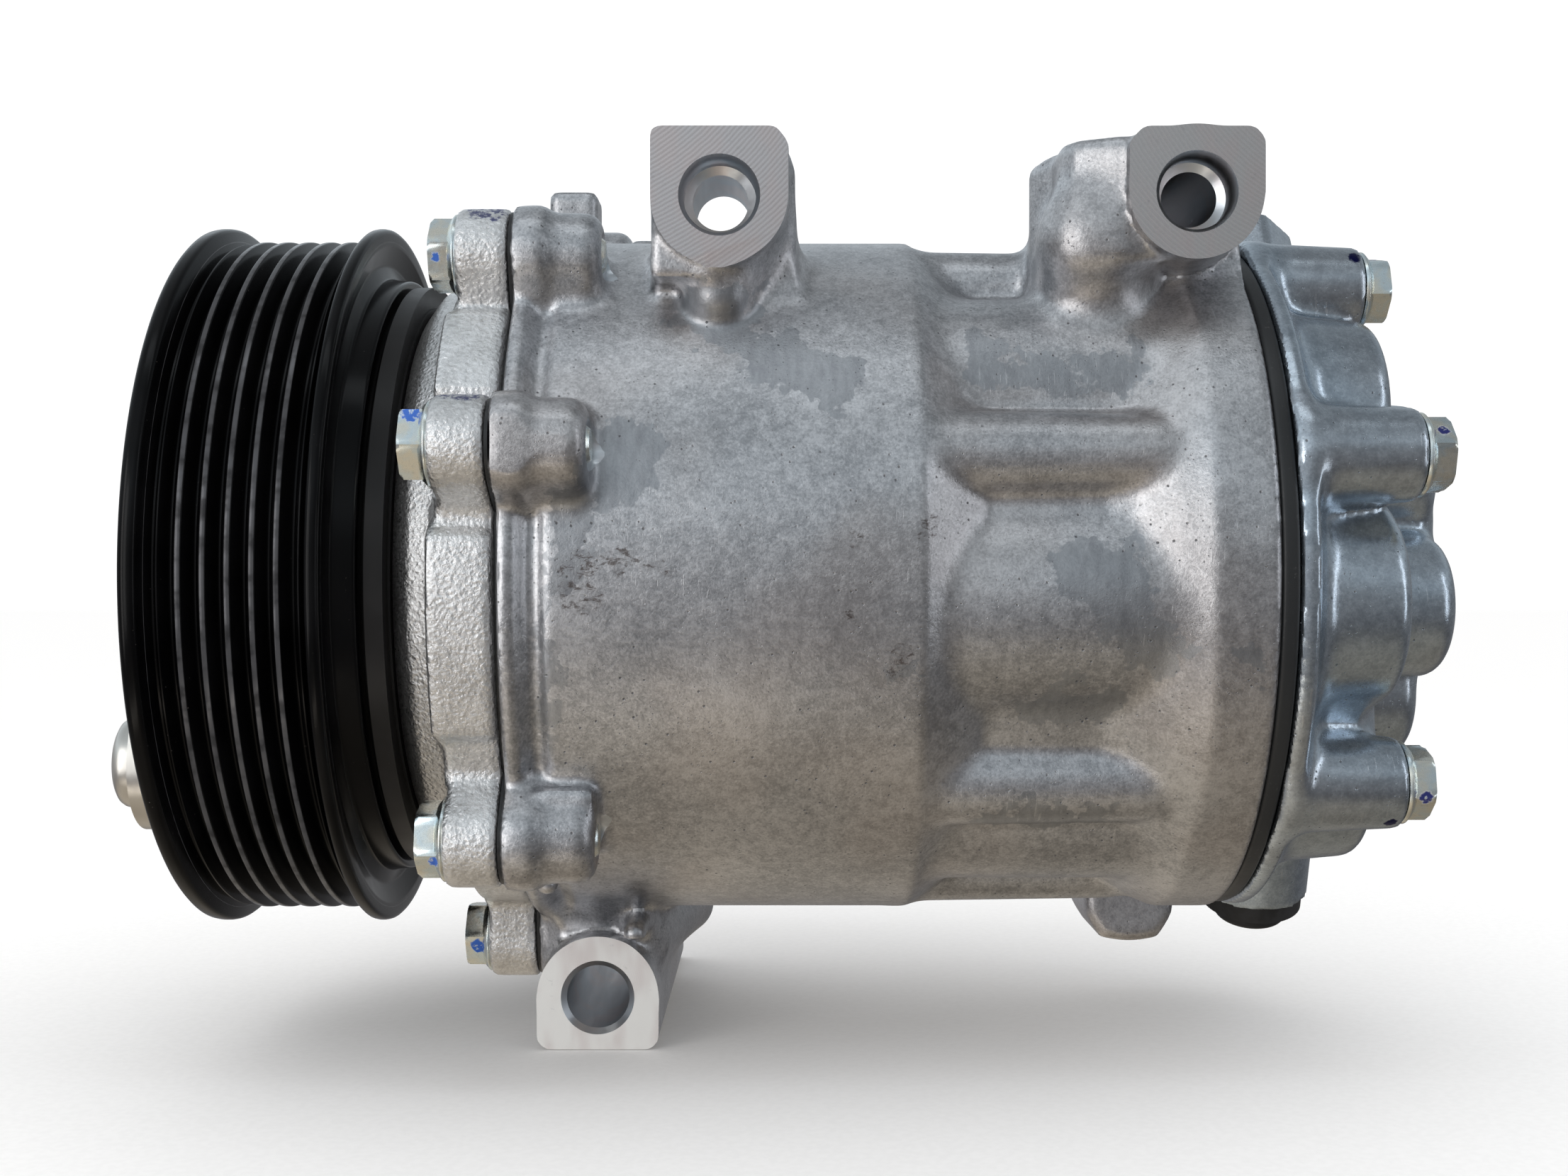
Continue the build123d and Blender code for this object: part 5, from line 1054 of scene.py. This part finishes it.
world = bpy.data.worlds.new("studio")
scene.world = world
world.use_nodes = True
wt = world.node_tree
back = wt.nodes["Background"]
back.inputs["Strength"].default_value = 1.0
way = wt.nodes.new("ShaderNodeTexCoord")
parts = wt.nodes.new("ShaderNodeSeparateXYZ")
wt.links.new(way.outputs["Generated"], parts.inputs[0])
height = wt.nodes.new("ShaderNodeMapRange")
for socket, value in zip(height.inputs, (0, -1, 1, 0, 1)):
    socket.default_value = value
wt.links.new(parts.outputs["Z"], height.inputs["Value"])
sky = wt.nodes.new("ShaderNodeValToRGB")
SKY = (
    (0.0, (0.28, 0.245, 0.20)), (0.05, (0.45, 0.40, 0.33)), (0.13, (0.50, 0.45, 0.38)),
    (0.29, (0.22, 0.215, 0.22)), (0.43, (0.35, 0.35, 0.36)), (0.60, (0.40, 0.42, 0.44)),
    (0.73, (0.72, 0.80, 0.86)), (0.82, (0.52, 0.57, 0.61)), (0.93, (0.40, 0.44, 0.47)),
    (1.0, (0.34, 0.36, 0.38))
)
for i, (stop, colour) in enumerate(SKY):
    point = sky.color_ramp.elements[i] if i < 2 else sky.color_ramp.elements.new(stop)
    point.position = stop
    point.color = (*colour, 1)
wt.links.new(height.outputs[0], sky.inputs[0])
side = wt.nodes.new("ShaderNodeMapRange")
for socket, value in zip(side.inputs, (0, -0.1, 0.4, 1.10, 0.54)):
    socket.default_value = value
wt.links.new(parts.outputs["X"], side.inputs["Value"])
shaded = wt.nodes.new("ShaderNodeVectorMath")
shaded.operation = "SCALE"
wt.links.new(sky.outputs["Color"], shaded.inputs[0])
wt.links.new(side.outputs[0], shaded.inputs["Scale"])
rays = wt.nodes.new("ShaderNodeLightPath")
pick = wt.nodes.new("ShaderNodeMix")
pick.data_type = "RGBA"
wt.links.new(rays.outputs["Is Glossy Ray"], pick.inputs[0])
pick.inputs[6].default_value = (1.10, 1.10, 1.10, 1.0)
wt.links.new(shaded.outputs[0], pick.inputs[7])
wt.links.new(pick.outputs[2], back.inputs["Color"])
floor.visible_glossy = False


def lamp(name, place, aim, size, power, colour):
    data = bpy.data.lights.new(name, "AREA")
    data.shape, data.size, data.size_y = "RECTANGLE", size[0] * MM, size[1] * MM
    data.energy, data.color = power, colour
    obj = bpy.data.objects.new(name, data)
    obj.location = Vector(place) * MM
    obj.rotation_euler = (Vector(aim) - Vector(place)).to_track_quat("-Z", "Y").to_euler()
    scene.collection.objects.link(obj)


lamp("key_top", (50, -250, 640), (70, 0, 0), (640, 120), 0.30, (0.90, 0.96, 1.0))
lamp("side_left", (-430, -520, 60), (90, 0, 10), (170, 620), 0.95, (1.0, 0.98, 0.96))
lamp("front_left", (-270, -640, 60), (135, -50, 0), (110, 520), 0.42, (1.0, 1.0, 1.0))
lamp("side_right", (640, -260, 120), (120, 0, 0), (60, 520), 0.30, (0.90, 0.94, 1.0))
lamp("low_left", (-160, -480, -420), (60, 0, -40), (420, 60), 0.16, (1.0, 0.92, 0.82))

cam_data = bpy.data.cameras.new("camera")
cam_data.lens, cam_data.sensor_width = 42.1, 36
cam_data.dof.use_dof = False
cam_data.clip_start, cam_data.clip_end = 0.01, 50
cam = bpy.data.objects.new("camera", cam_data)
cam.location = Vector((80.3, -321, -2.3)) * MM
cam.rotation_euler = (math.radians(90), 0, 0)
scene.collection.objects.link(cam)
scene.camera = cam
scene.view_settings.view_transform = "Standard"
